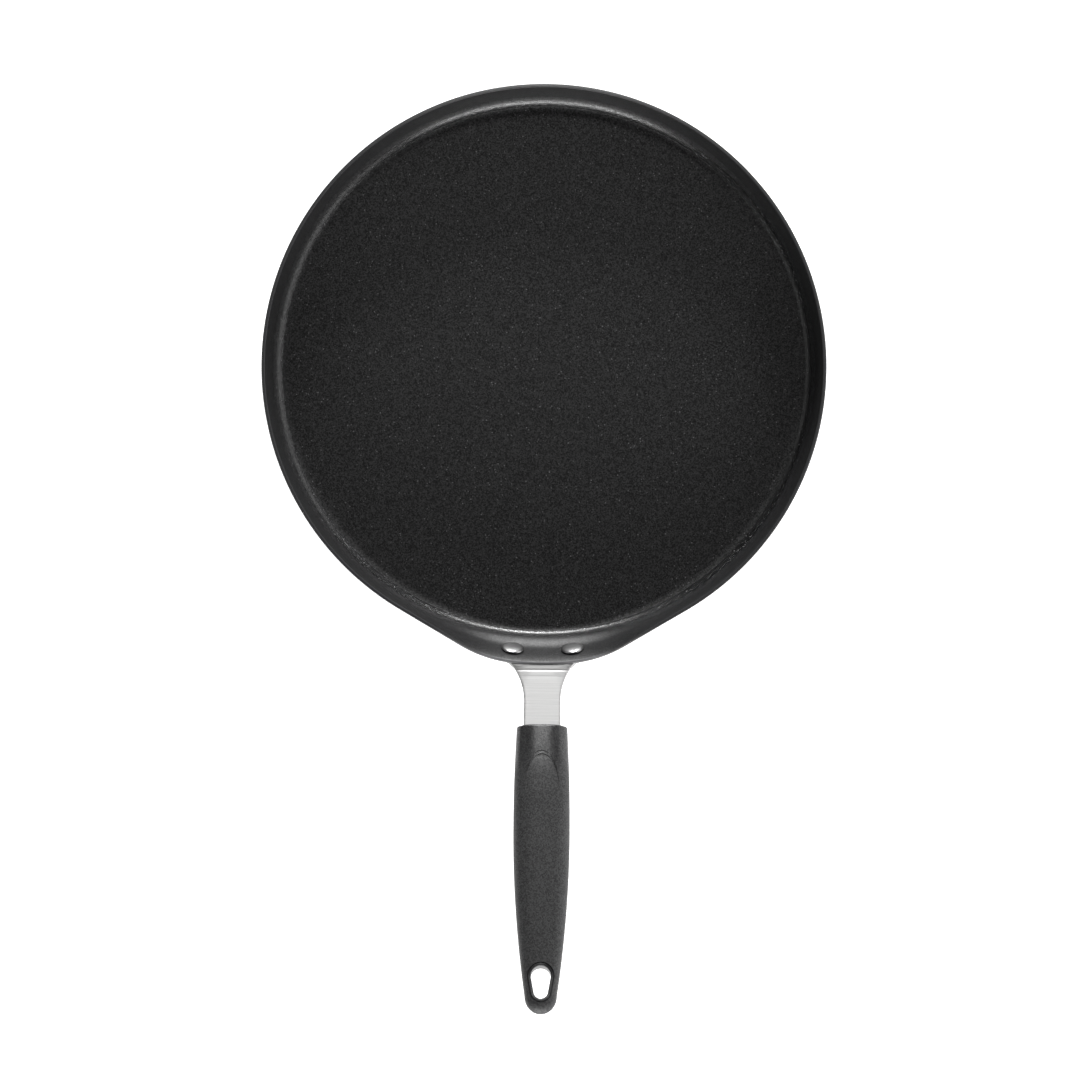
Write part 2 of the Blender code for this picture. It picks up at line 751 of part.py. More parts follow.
def make_core(finish):
    form = grip_mesh("grip_core", SLEEVE_WALL, -CORE_NOSE, CORE_EDGE)
    core = add_piece("grip_core", form, finish)
    place_in_grip(core)
    eyelet = add_cutter("eyelet", teardrop_mesh("eyelet", EYELET_RIM))
    skin = add_cutter("eyelet_skin", grip_mesh("eyelet_skin", EYELET_SUNK, 0.0, 0.0))
    slot = add_cutter("tang_slot", slot_mesh())
    hole = add_cutter("hang_hole", teardrop_mesh("hang_hole", 0.0))
    for item in (eyelet, skin, slot, hole):
        place_in_grip(item)
    combine(eyelet, skin, "INTERSECT")
    for number, along in enumerate(lock_holes_at()):
        post = add_cutter(f"lock_post_{number}", post_mesh("lock_post", LOCK_HOLE_RADIUS - FIT))
        combine(slot, place_in_grip(post, along))
    combine(core, eyelet, "UNION")
    combine(core, slot)
    combine(core, hole)
    return core


def make_sleeve(finish):
    sleeve = add_piece("grip_sleeve", grip_mesh("grip_sleeve", 0.0, 0.0, GRIP_EDGE), finish)
    place_in_grip(sleeve)
    room = grip_mesh("core_room", SLEEVE_WALL - FIT, -CORE_NOSE, 0.0)
    window = teardrop_mesh("eyelet_window", EYELET_RIM + FIT)
    for name, mesh in (("core_room", room), ("eyelet_window", window), ("scoop", scoop_mesh())):
        combine(sleeve, place_in_grip(add_cutter(name, mesh)))
    return sleeve


def drill_lock_holes(bracket):
    for number, along in enumerate(lock_holes_at()):
        bore = add_cutter(f"lock_bore_{number}", post_mesh("lock_bore", LOCK_HOLE_RADIUS))
        combine(bracket, place_in_grip(bore, along))


def main():
    clear_scene()
    coating = finish_material("black nonstick coating", (0.020, 0.020, 0.021), 0.5, 0.1)
    steel = finish_material("brushed stainless steel", (0.62, 0.61, 0.59), 0.32, 1.0)
    rivet_metal = finish_material("polished rivet", (0.66, 0.66, 0.66), 0.25, 1.0)
    hard_plastic = finish_material("black moulded plastic", (0.022, 0.022, 0.023), 0.45, 0.0)
    soft_plastic = finish_material("soft black sleeve", (0.035, 0.035, 0.036), 0.7, 0.0)
    body = make_body(coating)
    bracket = make_bracket(steel)
    rivets = make_rivets(rivet_metal)
    drill_rivet_holes((body, bracket))
    drill_lock_holes(bracket)
    core = make_core(hard_plastic)
    sleeve = make_sleeve(soft_plastic)
    shade_pieces([body, bracket, *rivets, core, sleeve])


if __name__ == "__main__":
    main()
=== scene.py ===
"""Looks of a round griddle pan: a coated pan with a pressed lip, a riveted steel bracket, a soft grip.

Sizes are in metres and angles in radians. The pan's middle is on the Z axis and the handle runs
towards -Y. Each piece keeps its place in its mesh, and its object stays at the origin.
"""

import math

import bmesh
import bpy
import numpy as np
from bpy.props import FloatProperty, FloatVectorProperty, IntProperty, PointerProperty
from mathutils import Matrix, Vector


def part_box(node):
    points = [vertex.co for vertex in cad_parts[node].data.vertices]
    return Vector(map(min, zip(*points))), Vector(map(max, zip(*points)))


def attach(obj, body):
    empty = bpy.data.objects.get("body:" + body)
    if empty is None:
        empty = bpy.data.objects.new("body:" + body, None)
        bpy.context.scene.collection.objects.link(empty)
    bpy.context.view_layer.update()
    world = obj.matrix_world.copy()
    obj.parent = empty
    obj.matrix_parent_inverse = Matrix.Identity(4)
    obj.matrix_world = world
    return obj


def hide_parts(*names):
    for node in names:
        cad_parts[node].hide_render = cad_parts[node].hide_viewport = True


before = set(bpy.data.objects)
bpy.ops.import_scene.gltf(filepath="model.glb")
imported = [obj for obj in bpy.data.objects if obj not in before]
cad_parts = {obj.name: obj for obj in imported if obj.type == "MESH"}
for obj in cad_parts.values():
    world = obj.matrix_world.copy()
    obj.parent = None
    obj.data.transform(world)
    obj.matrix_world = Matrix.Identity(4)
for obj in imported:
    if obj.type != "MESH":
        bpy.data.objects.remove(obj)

bl_info = {
    "name": "Round griddle pan",
    "version": (1, 0, 0),
    "blender": (4, 5, 0),
    "location": "3D View > Sidebar > Griddle pan",
    "description": "Makes the visible pieces of a round griddle pan and a plain studio",
    "category": "Object",
}

PAN_LOW, PAN_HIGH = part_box("griddle_body")

# Slot names of the finishes
COATING_SLOT = "nonstick_coating"
STEEL_SLOT = "brushed_steel"
RIVET_SLOT = "rivet_metal"
HARD_SLOT = "hard_plastic"
SOFT_SLOT = "soft_sleeve"

# How finely each form is divided
FLOOR_RINGS = 5
FILLET_STEPS = 16
CURVE_STEPS = 24
WALL_STEPS = 36
EDGE_STEPS = 16
TURNED_SIDES = 72
DOME_STEPS = 24
CORNER_STEPS = 12
BEND_STEPS = 36
SHELF_STEPS = 40
KNEE_STEPS = 10
STRAIGHT_STEPS = 4
STRAP_COLUMNS = 28
ROUNDING_STEPS = 4
GRIP_SIDES = 128
GRIP_STATIONS = 150
GRIP_EDGE_STEPS = 8
GRIP_TIP_STEPS = 24
HIDDEN_SIDES = 80
HIDDEN_STATIONS = 30
HOLE_ARC_STEPS = 36
SCOOP_NOSE_STEPS = 24
SCOOP_COLUMNS = 24
SHARP_ANGLE = math.radians(32)
WELD = 1e-6

# Exponents of the rim's round edge, of the rivets' domes and of the rise of the scoop's floor
EDGE_POWER = 0.55
DOME_POWER = 0.8
SCOOP_POWER = 1.8

# The floor's corner, as shares of the way from the flat floor to the wall's foot
CORNER_GLOSS_AT = 0.41
CORNER_END = 0.8

# How much of the floor's grain the wall has
WALL_GRAIN = 0.6

# How far the coating's grain, floor and gloss fade to both sides of a border
GRAIN_FADE = 0.0003
CORNER_FADE = 0.0008
GLOSS_FADE = 0.0005

# Darkest and lightest shade, as factors of a finish's own colour
COATING_SHADES = (0.55, 2.1)
SATIN_SHADES = (0.6, 1.5)
STEEL_SHADES = (0.87, 1.11)
RIVET_SHADES = (0.85, 1.0)
PLASTIC_SHADES = (0.7, 1.35)
TABLE_SHADES = (0.985, 1.0)
CLOUD_SHADE = 0.7
# Painted reflection: how many times lighter the rim's cut face is painted at the lip, where it would
# mirror the bright steel below it
PAINTED_RIM_SHEEN = 5

# Roughness of the finishes; a pair goes from the smoothest to the roughest spot
FLOOR_ROUGHNESS = 0.52
CORNER_ROUGHNESS = 0.24
SATIN_ROUGHNESS = 0.47
STEEL_ROUGHNESS = (0.44, 0.54)
RIVET_ROUGHNESS = (0.28, 0.34)
SLEEVE_ROUGHNESS = 0.58
WORN_SLEEVE_ROUGHNESS = 0.33
HARD_ROUGHNESS = 0.36
TABLE_ROUGHNESS = 0.8

# Grains and marks to a metre, and the depth of each finish's relief
COATING_GRAINS = 1700
COATING_FINE_GRAINS = 2600
COATING_LUMPS = 1500
COATING_CLOUDS = 28
COATING_DEPTH = 0.00006
SLEEVE_GRAINS = 1600
SLEEVE_DEPTH = 0.00008
HARD_GRAINS = 2600
HARD_DEPTH = 0.00003
STEEL_DEPTH = 0.00002
PLASTIC_WEAR = 60
RIVET_MARKS = 900
RIVET_DEPTH = 0.00001

# The flecks' grains to a metre, the chance from which a grain is a fleck, its core and its edge
COATING_FLECKS = 900
FLECK_FROM = 0.90
FLECK_CORE = 0.20
FLECK_EDGE = 0.42

# Brushed lines: scale along X, scale across it, detail, roughness, share
BRUSHED_LINES = (
    (45, 3000, 3.0, 0.6, 0.45),
    (35, 1300, 2.0, 0.5, 0.40),
    (22, 420, 2.0, 0.5, 0.15),
)
STEEL_ANISOTROPY = 0.25

# Studio
TABLE_HALF = 4.0
SENSOR = 36
LIGHT_TARGET = Vector((0, -0.09, 0.02))
# Name, heading from +Y towards +X and height in degrees, distance, width, depth
LIGHTS = (
    ("top_light", 0, 59, 2.0, 0.22, 0.22),
    ("far_light", 2, 14, 2.4, 0.9, 0.34),
    ("near_light", 180, 14, 2.4, 2.2, 0.6),
    ("side_light", 90, 20, 1.2, 2.4, 1.0),
    ("left_light", 270, 40, 1.6, 1.6, 0.8),
)


def length(name, description, default):
    return FloatProperty(
        name=name, description=description, default=default, unit="LENGTH", precision=4
    )


def angle(name, description, degrees):
    return FloatProperty(
        name=name,
        description=description,
        default=math.radians(degrees),
        unit="ROTATION",
        subtype="ANGLE",
    )


def number(name, description, default, low=0.0):
    return FloatProperty(name=name, description=description, default=default, min=low)


def lengths(name, description, default):
    return FloatVectorProperty(
        name=name, description=description, default=default, size=3, unit="LENGTH", precision=4
    )


def colour(name, description, default):
    return FloatVectorProperty(
        name=name, description=description, default=default, size=3, subtype="COLOR", min=0, max=1
    )


class PanSizes(bpy.types.PropertyGroup):
    """The pressed sheet, and the lip that carries the handle."""

    rim_radius: length("Rim radius", "Outer radius of the round rim", PAN_HIGH.x)
    rim_height: length("Rim height", "Height of the rim above the table", PAN_HIGH.z)
    sheet: length("Sheet", "Thickness of the sheet", 0.002)
    wall_lean: angle("Wall lean", "How far the wall leans out from upright", 7.2)
    floor_fillet: length("Floor corner", "Inside radius between floor and wall", 0.009)
    lip_reach: length("Lip reach", "How far the lip stands past the rim", -PAN_LOW.y - PAN_HIGH.x)
    lip_front: length("Lip front", "Half the width of the lip's front arc", 0.0157)
    lip_corner: length("Lip corner", "Radius of the lip's corners from above", 0.070)
    lip_foot_lean: angle("Lip foot lean", "Lean of the wall's foot at the lip", 12)
    seat_lean: angle("Seat lean", "Lean of the band that the rivets sit on", 24)
    lip_rim_lean: angle("Lip rim lean", "Lean of the lip at its edge", 44)
    lip_drop: length("Lip drop", "How far the lip's edge lies below the rim", 0.0012)
    face_lean: angle("Cut face lean", "Outward lean of the cut face round the rim", 13)
    lip_face_lean: angle("Lip face lean", "Outward lean of the cut face at the lip", 62)
    seat_below_rim: length("Seat depth", "Depth of the rivets below the rim", 0.011)
    seat_out: length("Seat set out", "How far the seat is pressed out of the wall", 0.00475)
    seat_half_length: length("Seat half length", "Half the height of the seat's flat band", 0.0035)
    foot_hold: number("Foot hold", "How long the wall's foot stays steep at the lip", 1.2)
    lip_fillet: length("Lip floor corner", "Inside radius between floor and wall at the lip", 0.0055)
    lip_floor_out: length("Lip floor", "How far the flat floor reaches further out at the lip", 0.00155)
    easing: length("Easing", "Distance over which the wall's bends are eased", 0.0012)
    # Along -Y, where the cut face starts to be painted lighter towards the lip and where it is fully
    # so, a painted reflection; the same band is also made rougher
    painted_sheen_from: length("Worn from", "Distance from the middle where the edge starts to be worn", 0.153)
    painted_sheen_by: length("Worn by", "Distance from the middle where the edge is worn all over", 0.157)
    columns: IntProperty(name="Columns", description="Divisions round the rim", default=384, min=48)


class RivetSizes(bpy.types.PropertyGroup):
    """The two rivets."""

    spacing: length("Spacing", "Distance between the rivets' middles", 0.0324)
    head_radius: length("Head radius", "Radius of the domed head", 0.0062)
    head_height: length("Head height", "Height of the domed head", 0.0021)
    shank_radius: length("Shank radius", "Radius of the shank", 0.003)
    tail_radius: length("Tail radius", "Radius of the formed tail", 0.005)
    tail_height: length("Tail height", "Height of the formed tail", 0.0019)
    edge: length("Edge", "Height of the edge of head and tail", 0.0006)
    undercut: length("Undercut", "How far the edge draws in below", 0.0007)


class BracketSizes(bpy.types.PropertyGroup):
    """The steel bracket, from its plate behind the lip to its tang inside the grip."""

    fit: length("Fit", "Clearance between pieces that touch", 0.0003)
    beside_rivets: length("Plate beside rivets", "Plate past each rivet's middle, sideways", 0.0078)
    below_rivets: length("Plate below rivets", "Plate below the rivets' middle", 0.010)
    above_rivets: length("Plate above rivets", "Plate from the rivets to the bend", 0.0085)
    foot_corner: length("Foot corner", "Radius of the plate's lower corners", 0.008)
    top_corner: length("Top corner", "Radius of the plate's upper corners", 0.004)
    thickness: length("Thickness", "Thickness of the strap", 0.0025)
    half_width: length("Half width", "Half the strap's width", 0.0098)
    flare: length("Flare", "Radius of the hollow flare from strap to plate", 0.034)
    edge: length("Edge", "Radius of the eased edges", 0.0006)
    bend_radius: length("Bend radius", "Radius of the bend out of the plate", 0.004)
    shelf_slope: angle("Shelf slope", "Rise of the short shelf after the bend", 13.4)
    shelf: length("Shelf", "Length of the short shelf", 0.0051)
    crease_depth: length("Crease depth", "Depth of the pressed lines at both ends of the shelf", 0.0002)
    crease_reach: length("Crease reach", "Reach of a pressed line to either side", 0.00055)
    crease_in: length("Crease place", "Distance of the first pressed line from the bend's end", 0.0016)
    knee_radius: length("Knee radius", "Radius of the bend up to the handle's rise", 0.010)
    second_crease: number("Second crease", "Depth of the second pressed line over the first's", 0.2)
    droop: number("Droop", "How strongly the flare's edges bend down, per metre", 16)
    droop_from: number("Droop from", "Where the bend down starts, over the half width", 0.7)
    flare_runout: length("Flare runout", "Where the flare ends past the knee", 0.0135)
    rise: angle("Rise", "Rise of the handle", 13.82)
    neck: length("Neck", "Bare steel between the lip and the grip", 0.03335)
    shoulder: length("Shoulder", "Full width kept inside the grip", 0.002)
    shoulder_taper: length("Shoulder taper", "Length over which the tang narrows", 0.004)
    tang_half_width: length("Tang half width", "Half the tang's width", 0.0075)
    tang_to_hole: length("Tang to hole", "Plastic between the tang's end and the hang hole", 0.029)
    tang_tip_flat: length("Tang tip", "Half the flat at the tang's round end", 0.0015)
    lock_radius: length("Lock hole radius", "Radius of the holes that the core fills", 0.003)
    lock_front: length("Front lock hole", "Distance from the grip's front", 0.028)
    lock_rear: length("Rear lock hole", "Distance from the tang's end", 0.022)


class GripSizes(bpy.types.PropertyGroup):
    """The grip: half width, height above and depth below its axis at three places."""

    length: length("Length", "Length along its axis", 0.154)
    front: lengths("Front", "Half width, height and depth at the front", (0.0136, 0.0085, 0.0090))
    belly: lengths("Belly", "Half width, height and depth at the belly", (0.0151, 0.0096, 0.0125))
    tip: lengths("Tip", "Half width, height and depth where the tip begins", (0.0086, 0.0066, 0.0068))
    belly_at: length("Belly place", "Distance of the belly from the front", 0.056)
    tip_round: length("Tip rounding", "Length of the round tip", 0.0095)
    front_flare: number("Front flare", "Slope of the sides at the front", 0.055)
    tip_taper: number("Tip taper", "Slope of the sides where the tip begins", 0.145)
    tip_thinning: number("Tip thinning", "Slope of top and bottom where the tip begins", 0.048)
    edge: length("Front edge", "Radius round the sleeve's front", 0.0007)
    squareness: number("Squareness", "Exponent of the squared oval section", 2.75, low=2.0)
    sleeve_wall: length("Sleeve wall", "Thickness of the soft sleeve", 0.0025)
    core_nose: length("Core nose", "How far the core shows at the front", 0.0008)
    core_edge: length("Core edge", "Radius round the core's front", 0.00025)
    seam: length("Seam", "Gap between the sleeve and the core", 0.00012)
    hole_from_tip: length("Hole place", "Distance of the hole's wide end from the tip", 0.0197)
    hole_span: length("Hole span", "Distance between the hole's two arcs", 0.0083)
    hole_wide: length("Hole wide radius", "Radius of the wide arc", 0.0053)
    hole_narrow: length("Hole narrow radius", "Radius of the narrow arc", 0.0038)
    eyelet_rim: length("Eyelet rim", "Width of the hard rim round the hole", 0.0018)
    eyelet_sunk: length("Eyelet sunk", "Depth of the rim below the sleeve, towards the pan", 0.0008)
    eyelet_flush: length("Eyelet flush", "Depth of the rim below the sleeve, at the tip", 0.0001)
    eyelet_edge: length("Eyelet edge", "Radius of the rim's edges", 0.0006)
    scoop_at: length("Scoop place", "Distance of the thumb scoop from the front", 0.0138)
    scoop_nose: length("Scoop nose", "Length of the scoop's round nose", 0.019)
    scoop_half_width: length("Scoop half width", "Half the scoop's width", 0.0092)
    scoop_length: length("Scoop length", "Length of the scoop", 0.032)
    scoop_depth: length("Scoop depth", "Depth behind the inner step", 0.0015)
    scoop_step: length("Scoop step", "Depth of the ledge inside the scoop's edge", 0.0007)
    scoop_ledge: length("Scoop ledge", "Width of the ledge at the scoop's nose", 0.0018)
    scoop_hollow: number("Scoop hollow", "How much shallower the scoop is at its sides", 0.1)
    scoop_runout: length("Scoop runout", "Height over the skin at which the scoop's floor ends", 0.0003)


class Colours(bpy.types.PropertyGroup):
    """Base colours of the finishes."""

    coating: colour("Coating", "Coarse coating of the floor and its corner", (0.0040, 0.0040, 0.0042))
    satin: colour("Satin coating", "Smooth coating of wall, lip and outside", (0.0110, 0.0110, 0.0114))
    rim: colour("Rim", "Thin coating on the cut face of the rim", (0.022, 0.022, 0.023))
    flecks: colour("Flecks", "Mineral flecks in the floor's coating", (0.085, 0.085, 0.087))
    steel: colour("Steel", "Brushed steel of the bracket", (0.44, 0.439, 0.436))
    rivet: colour("Rivet", "Polished rivets", (0.46, 0.46, 0.46))
    hard: colour("Hard plastic", "Core and eyelet", (0.020, 0.020, 0.021))
    soft: colour("Soft sleeve", "Grip sleeve", (0.016, 0.016, 0.0165))
    table: colour("Table", "The pale floor", (0.86, 0.86, 0.86))


class StudioSettings(bpy.types.PropertyGroup):
    """The camera straight above, a small light high up and four soft lights round the table."""

    picture: number("Picture", "Side of the square picture, in pixels", 1080)
    middle_right: number("Middle, across", "Pixel column of the rim's middle", 544.0)
    middle_down: number("Middle, down", "Pixel row of the rim's middle", 366.3)
    rim_pixels: number("Rim in pixels", "Radius of the rim in the picture, in pixels", 282.8)
    roll: angle("Roll", "Turn of the camera about its line of sight", 0.31)
    camera_height: length("Camera height", "Height of the camera above the table", 2.1)
    top_light: number("Top light", "Watts, high up, beyond the pan", 9.5)
    far_light: number("Far light", "Watts, low, beyond the pan", 84)
    near_light: number("Near light", "Watts, low, past the grip", 75)
    side_light: number("Side light", "Watts, low, on the right", 15)
    left_light: number("Left light", "Watts, half up, on the left", 2.5)
    sky: number("Room light", "Strength of the even light", 0.08)
    table_glow: number("Table glow", "Light from the table itself", 0.85)


# Node trees


class Term:
    """A number or a vector in a node tree, which can be written in a sum."""

    def __init__(self, tree, socket):
        self.tree = tree
        self.socket = socket

    def math(self, operation, *others):
        return Term(self.tree, add_math(self.tree, operation, self, *others))

    def __add__(self, other):
        return self.math("ADD", other)

    def __sub__(self, other):
        return self.math("SUBTRACT", other)

    def __mul__(self, other):
        return self.math("MULTIPLY", other)

    def __truediv__(self, other):
        return self.math("DIVIDE", other)

    def __rsub__(self, other):
        return Term(self.tree, add_math(self.tree, "SUBTRACT", other, self))


def feed(tree, socket, value):
    """Joins a socket or term to an input, or sets a plain value on it."""
    if isinstance(value, Term):
        value = value.socket
    if isinstance(value, bpy.types.NodeSocket):
        tree.links.new(value, socket)
    else:
        socket.default_value = value


def add_node(tree, kind, inputs=None, **settings):
    node = tree.nodes.new(kind)
    for name, value in settings.items():
        setattr(node, name, value)
    for name, value in (inputs or {}).items():
        feed(tree, node.inputs[name], value)
    return node


def add_math(tree, operation, *values):
    return add_node(tree, "ShaderNodeMath", dict(enumerate(values)), operation=operation).outputs[0]


def blended(tree, kind, share, first, second):
    """Mix of two vectors or colours; kind is Vector or Color."""
    node = add_node(
        tree, "ShaderNodeMix", {"Factor": share}, data_type="RGBA" if kind == "Color" else "VECTOR"
    )
    sockets = {socket.identifier: socket for socket in (*node.inputs, *node.outputs)}
    feed(tree, sockets["A_" + kind], first)
    feed(tree, sockets["B_" + kind], second)
    return sockets["Result_" + kind]


def shape_tree(name, inputs):
    """Geometry tree with named inputs; returns it with a dictionary of its input sockets."""
    tree = bpy.data.node_groups.new(name, "GeometryNodeTree")
    tree.interface.new_socket("Geometry", in_out="INPUT", socket_type="NodeSocketGeometry")
    for label, kind in inputs.items():
        tree.interface.new_socket(label, in_out="INPUT", socket_type=kind)
    tree.interface.new_socket("Geometry", in_out="OUTPUT", socket_type="NodeSocketGeometry")
    start = tree.nodes.new("NodeGroupInput")
    return tree, {socket.name: socket for socket in start.outputs if socket.name}


def end_tree(tree, geometry, material):
    """Ends a shape tree with real, smooth geometry in one material."""
    real = add_node(tree, "GeometryNodeRealizeInstances", {"Geometry": geometry})
    smooth = add_node(tree, "GeometryNodeSetShadeSmooth", {"Geometry": real.outputs["Geometry"]})
    inputs = {"Geometry": smooth.outputs["Geometry"], "Material": material}
    painted = add_node(tree, "GeometryNodeSetMaterial", inputs)
    add_node(tree, "NodeGroupOutput", {"Geometry": painted.outputs["Geometry"]})


def settle(piece):
    """Turns a piece's modifiers into plain mesh."""
    depsgraph = bpy.context.evaluated_depsgraph_get()
    mesh = bpy.data.meshes.new_from_object(piece.evaluated_get(depsgraph), depsgraph=depsgraph)
    piece.modifiers.clear()
    piece.data = mesh
    return piece


def grow(piece, tree, values):
    """Runs a shape tree on a piece, with its inputs set by their sockets' identifiers."""
    step = piece.modifiers.new(tree.name, "NODES")
    step.node_group = tree
    for socket in tree.interface.items_tree:
        if socket.in_out == "INPUT" and socket.name in values:
            step[socket.identifier] = values[socket.name]
    return settle(piece)


# Meshes and pieces


def mix(a, b, share):
    return a + (b - a) * share


def hermite(a, b, slope_a, slope_b, t):
    """Cubic from a to b whose slopes with t are slope_a and slope_b."""
    near = 2 * t**3 - 3 * t**2 + 1
    far = 3 * t**2 - 2 * t**3
    return near * a + far * b + (t**3 - 2 * t**2 + t) * slope_a + (t**3 - t**2) * slope_b


def loft_mesh(name, rings, first_pole=None, last_pole=None, closed=False):
    """Skin through rings of equal count, with ends closed by poles or faces, or by each other."""
    shape = bmesh.new()
    rows = [[shape.verts.new(point) for point in ring] for ring in rings]
    sides = len(rows[0])
    pairs = list(zip(rows, rows[1:] + rows[:1] if closed else rows[1:]))
    for lower, upper in pairs:
        for i in range(sides):
            j = (i + 1) % sides
            shape.faces.new((lower[i], lower[j], upper[j], upper[i]))
    ends = () if closed else ((rows[0], first_pole), (rows[-1], last_pole))
    for row, pole in ends:
        if pole is None:
            shape.faces.new(row)
            continue
        tip = shape.verts.new(pole)
        for i in range(sides):
            shape.faces.new((row[i], row[(i + 1) % sides], tip))
    bmesh.ops.recalc_face_normals(shape, faces=shape.faces)
    mesh = bpy.data.meshes.new(name)
    shape.to_mesh(mesh)
    shape.free()
    return mesh


def turned_mesh(name, profile):
    """Solid of revolution about Z from (radius, height) points that start and end on the axis."""
    turns = [2 * math.pi * i / TURNED_SIDES for i in range(TURNED_SIDES)]
    rings = [
        [(radius * math.cos(turn), radius * math.sin(turn), height) for turn in turns]
        for radius, height in profile[1:-1]
    ]
    return loft_mesh(name, rings, (0, 0, profile[0][1]), (0, 0, profile[-1][1]))


def new_object(name, data):
    """An object at the origin, in the scene."""
    item = bpy.data.objects.new(name, data)
    bpy.context.scene.collection.objects.link(item)
    return item


def combine(piece, *others):
    """Joins or cuts a piece with (mesh, operation) pairs, and leaves plain mesh."""
    helpers = []
    for mesh, operation in others:
        helper = new_object(mesh.name, mesh)
        helpers.append(helper)
        step = piece.modifiers.new(mesh.name, "BOOLEAN")
        step.operation = operation
        step.object = helper
        step.solver = "EXACT"
    settle(piece)
    for helper in helpers:
        bpy.data.objects.remove(helper)
    return piece


def finish_piece(piece, material, slot, *nodes):
    """Gives a piece its finish and lets it stand for its CAD nodes."""
    mesh = piece.data
    mesh.shade_smooth()
    mesh.set_sharp_from_angle(angle=SHARP_ANGLE)
    mesh.materials.clear()
    mesh.materials.append(material)
    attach(piece, "root")
    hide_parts(*nodes)
    return piece


# Finishes


def new_finish(name):
    """An empty material; returns it with its tree and its shader."""
    material = bpy.data.materials.new(name)
    material.use_nodes = True
    tree = material.node_tree
    return material, tree, tree.nodes["Principled BSDF"]


def object_place(tree):
    return add_node(tree, "ShaderNodeTexCoord").outputs["Object"]


def brushed_layer(tree, along, across, detail, roughness, share):
    """One layer of lines that run along X, weighed by its share."""
    inputs = {"Vector": object_place(tree), "Scale": (along, across, across)}
    place = add_node(tree, "ShaderNodeMapping", inputs).outputs["Vector"]
    return noise(tree, place, 1.0, detail, roughness) * share


def mesh_flag(tree, name):
    """A flag that the mesh holds at its points."""
    return Term(tree, add_node(tree, "ShaderNodeAttribute", attribute_name=name).outputs["Fac"])


def cells(tree, place, scale):
    """Grains: the distance from each one's middle, and a chance number for each."""
    grains = add_node(tree, "ShaderNodeTexVoronoi", {"Vector": place, "Scale": scale})
    chance = add_node(tree, "ShaderNodeTexWhiteNoise", {"Vector": grains.outputs["Position"]})
    return Term(tree, grains.outputs["Distance"]), Term(tree, chance.outputs["Value"])


def noise(tree, place, scale, detail=2.0, roughness=0.5):
    """Cloudy pattern from 0 to 1."""
    inputs = {"Vector": place, "Scale": scale, "Detail": detail, "Roughness": roughness}
    return Term(tree, add_node(tree, "ShaderNodeTexNoise", inputs).outputs["Fac"])


def ramp(tree, value, low, high, to_low=0.0, to_high=1.0):
    """Smooth step of a value from one range to another."""
    inputs = {
        "Value": value,
        "From Min": low,
        "From Max": high,
        "To Min": to_low,
        "To Max": to_high,
    }
    node = add_node(tree, "ShaderNodeMapRange", inputs, interpolation_type="SMOOTHSTEP")
    return Term(tree, node.outputs["Result"])


def fade_at(tree, value, border, fade, before=0.0, after=1.0):
    """Smooth step of a value at a border, with half of it on each side."""
    return ramp(tree, value, border - fade, border + fade, before, after)


def blend_colours(tree, share, first, second):
    first, second = (
        value if isinstance(value, bpy.types.NodeSocket) else (*value, 1) for value in (first, second)
    )
    return blended(tree, "Color", share, first, second)


def shaded(colour, factor):
    return [factor * channel for channel in colour]


def mottled(tree, share, colour, shades):
    """A colour between its darkest and its lightest shade."""
    darkest, lightest = shades
    return blend_colours(tree, share, shaded(colour, darkest), shaded(colour, lightest))


def bump(tree, height, distance, strength=1.0):
    inputs = {"Height": height, "Distance": distance, "Strength": strength}
    return add_node(tree, "ShaderNodeBump", inputs).outputs["Normal"]


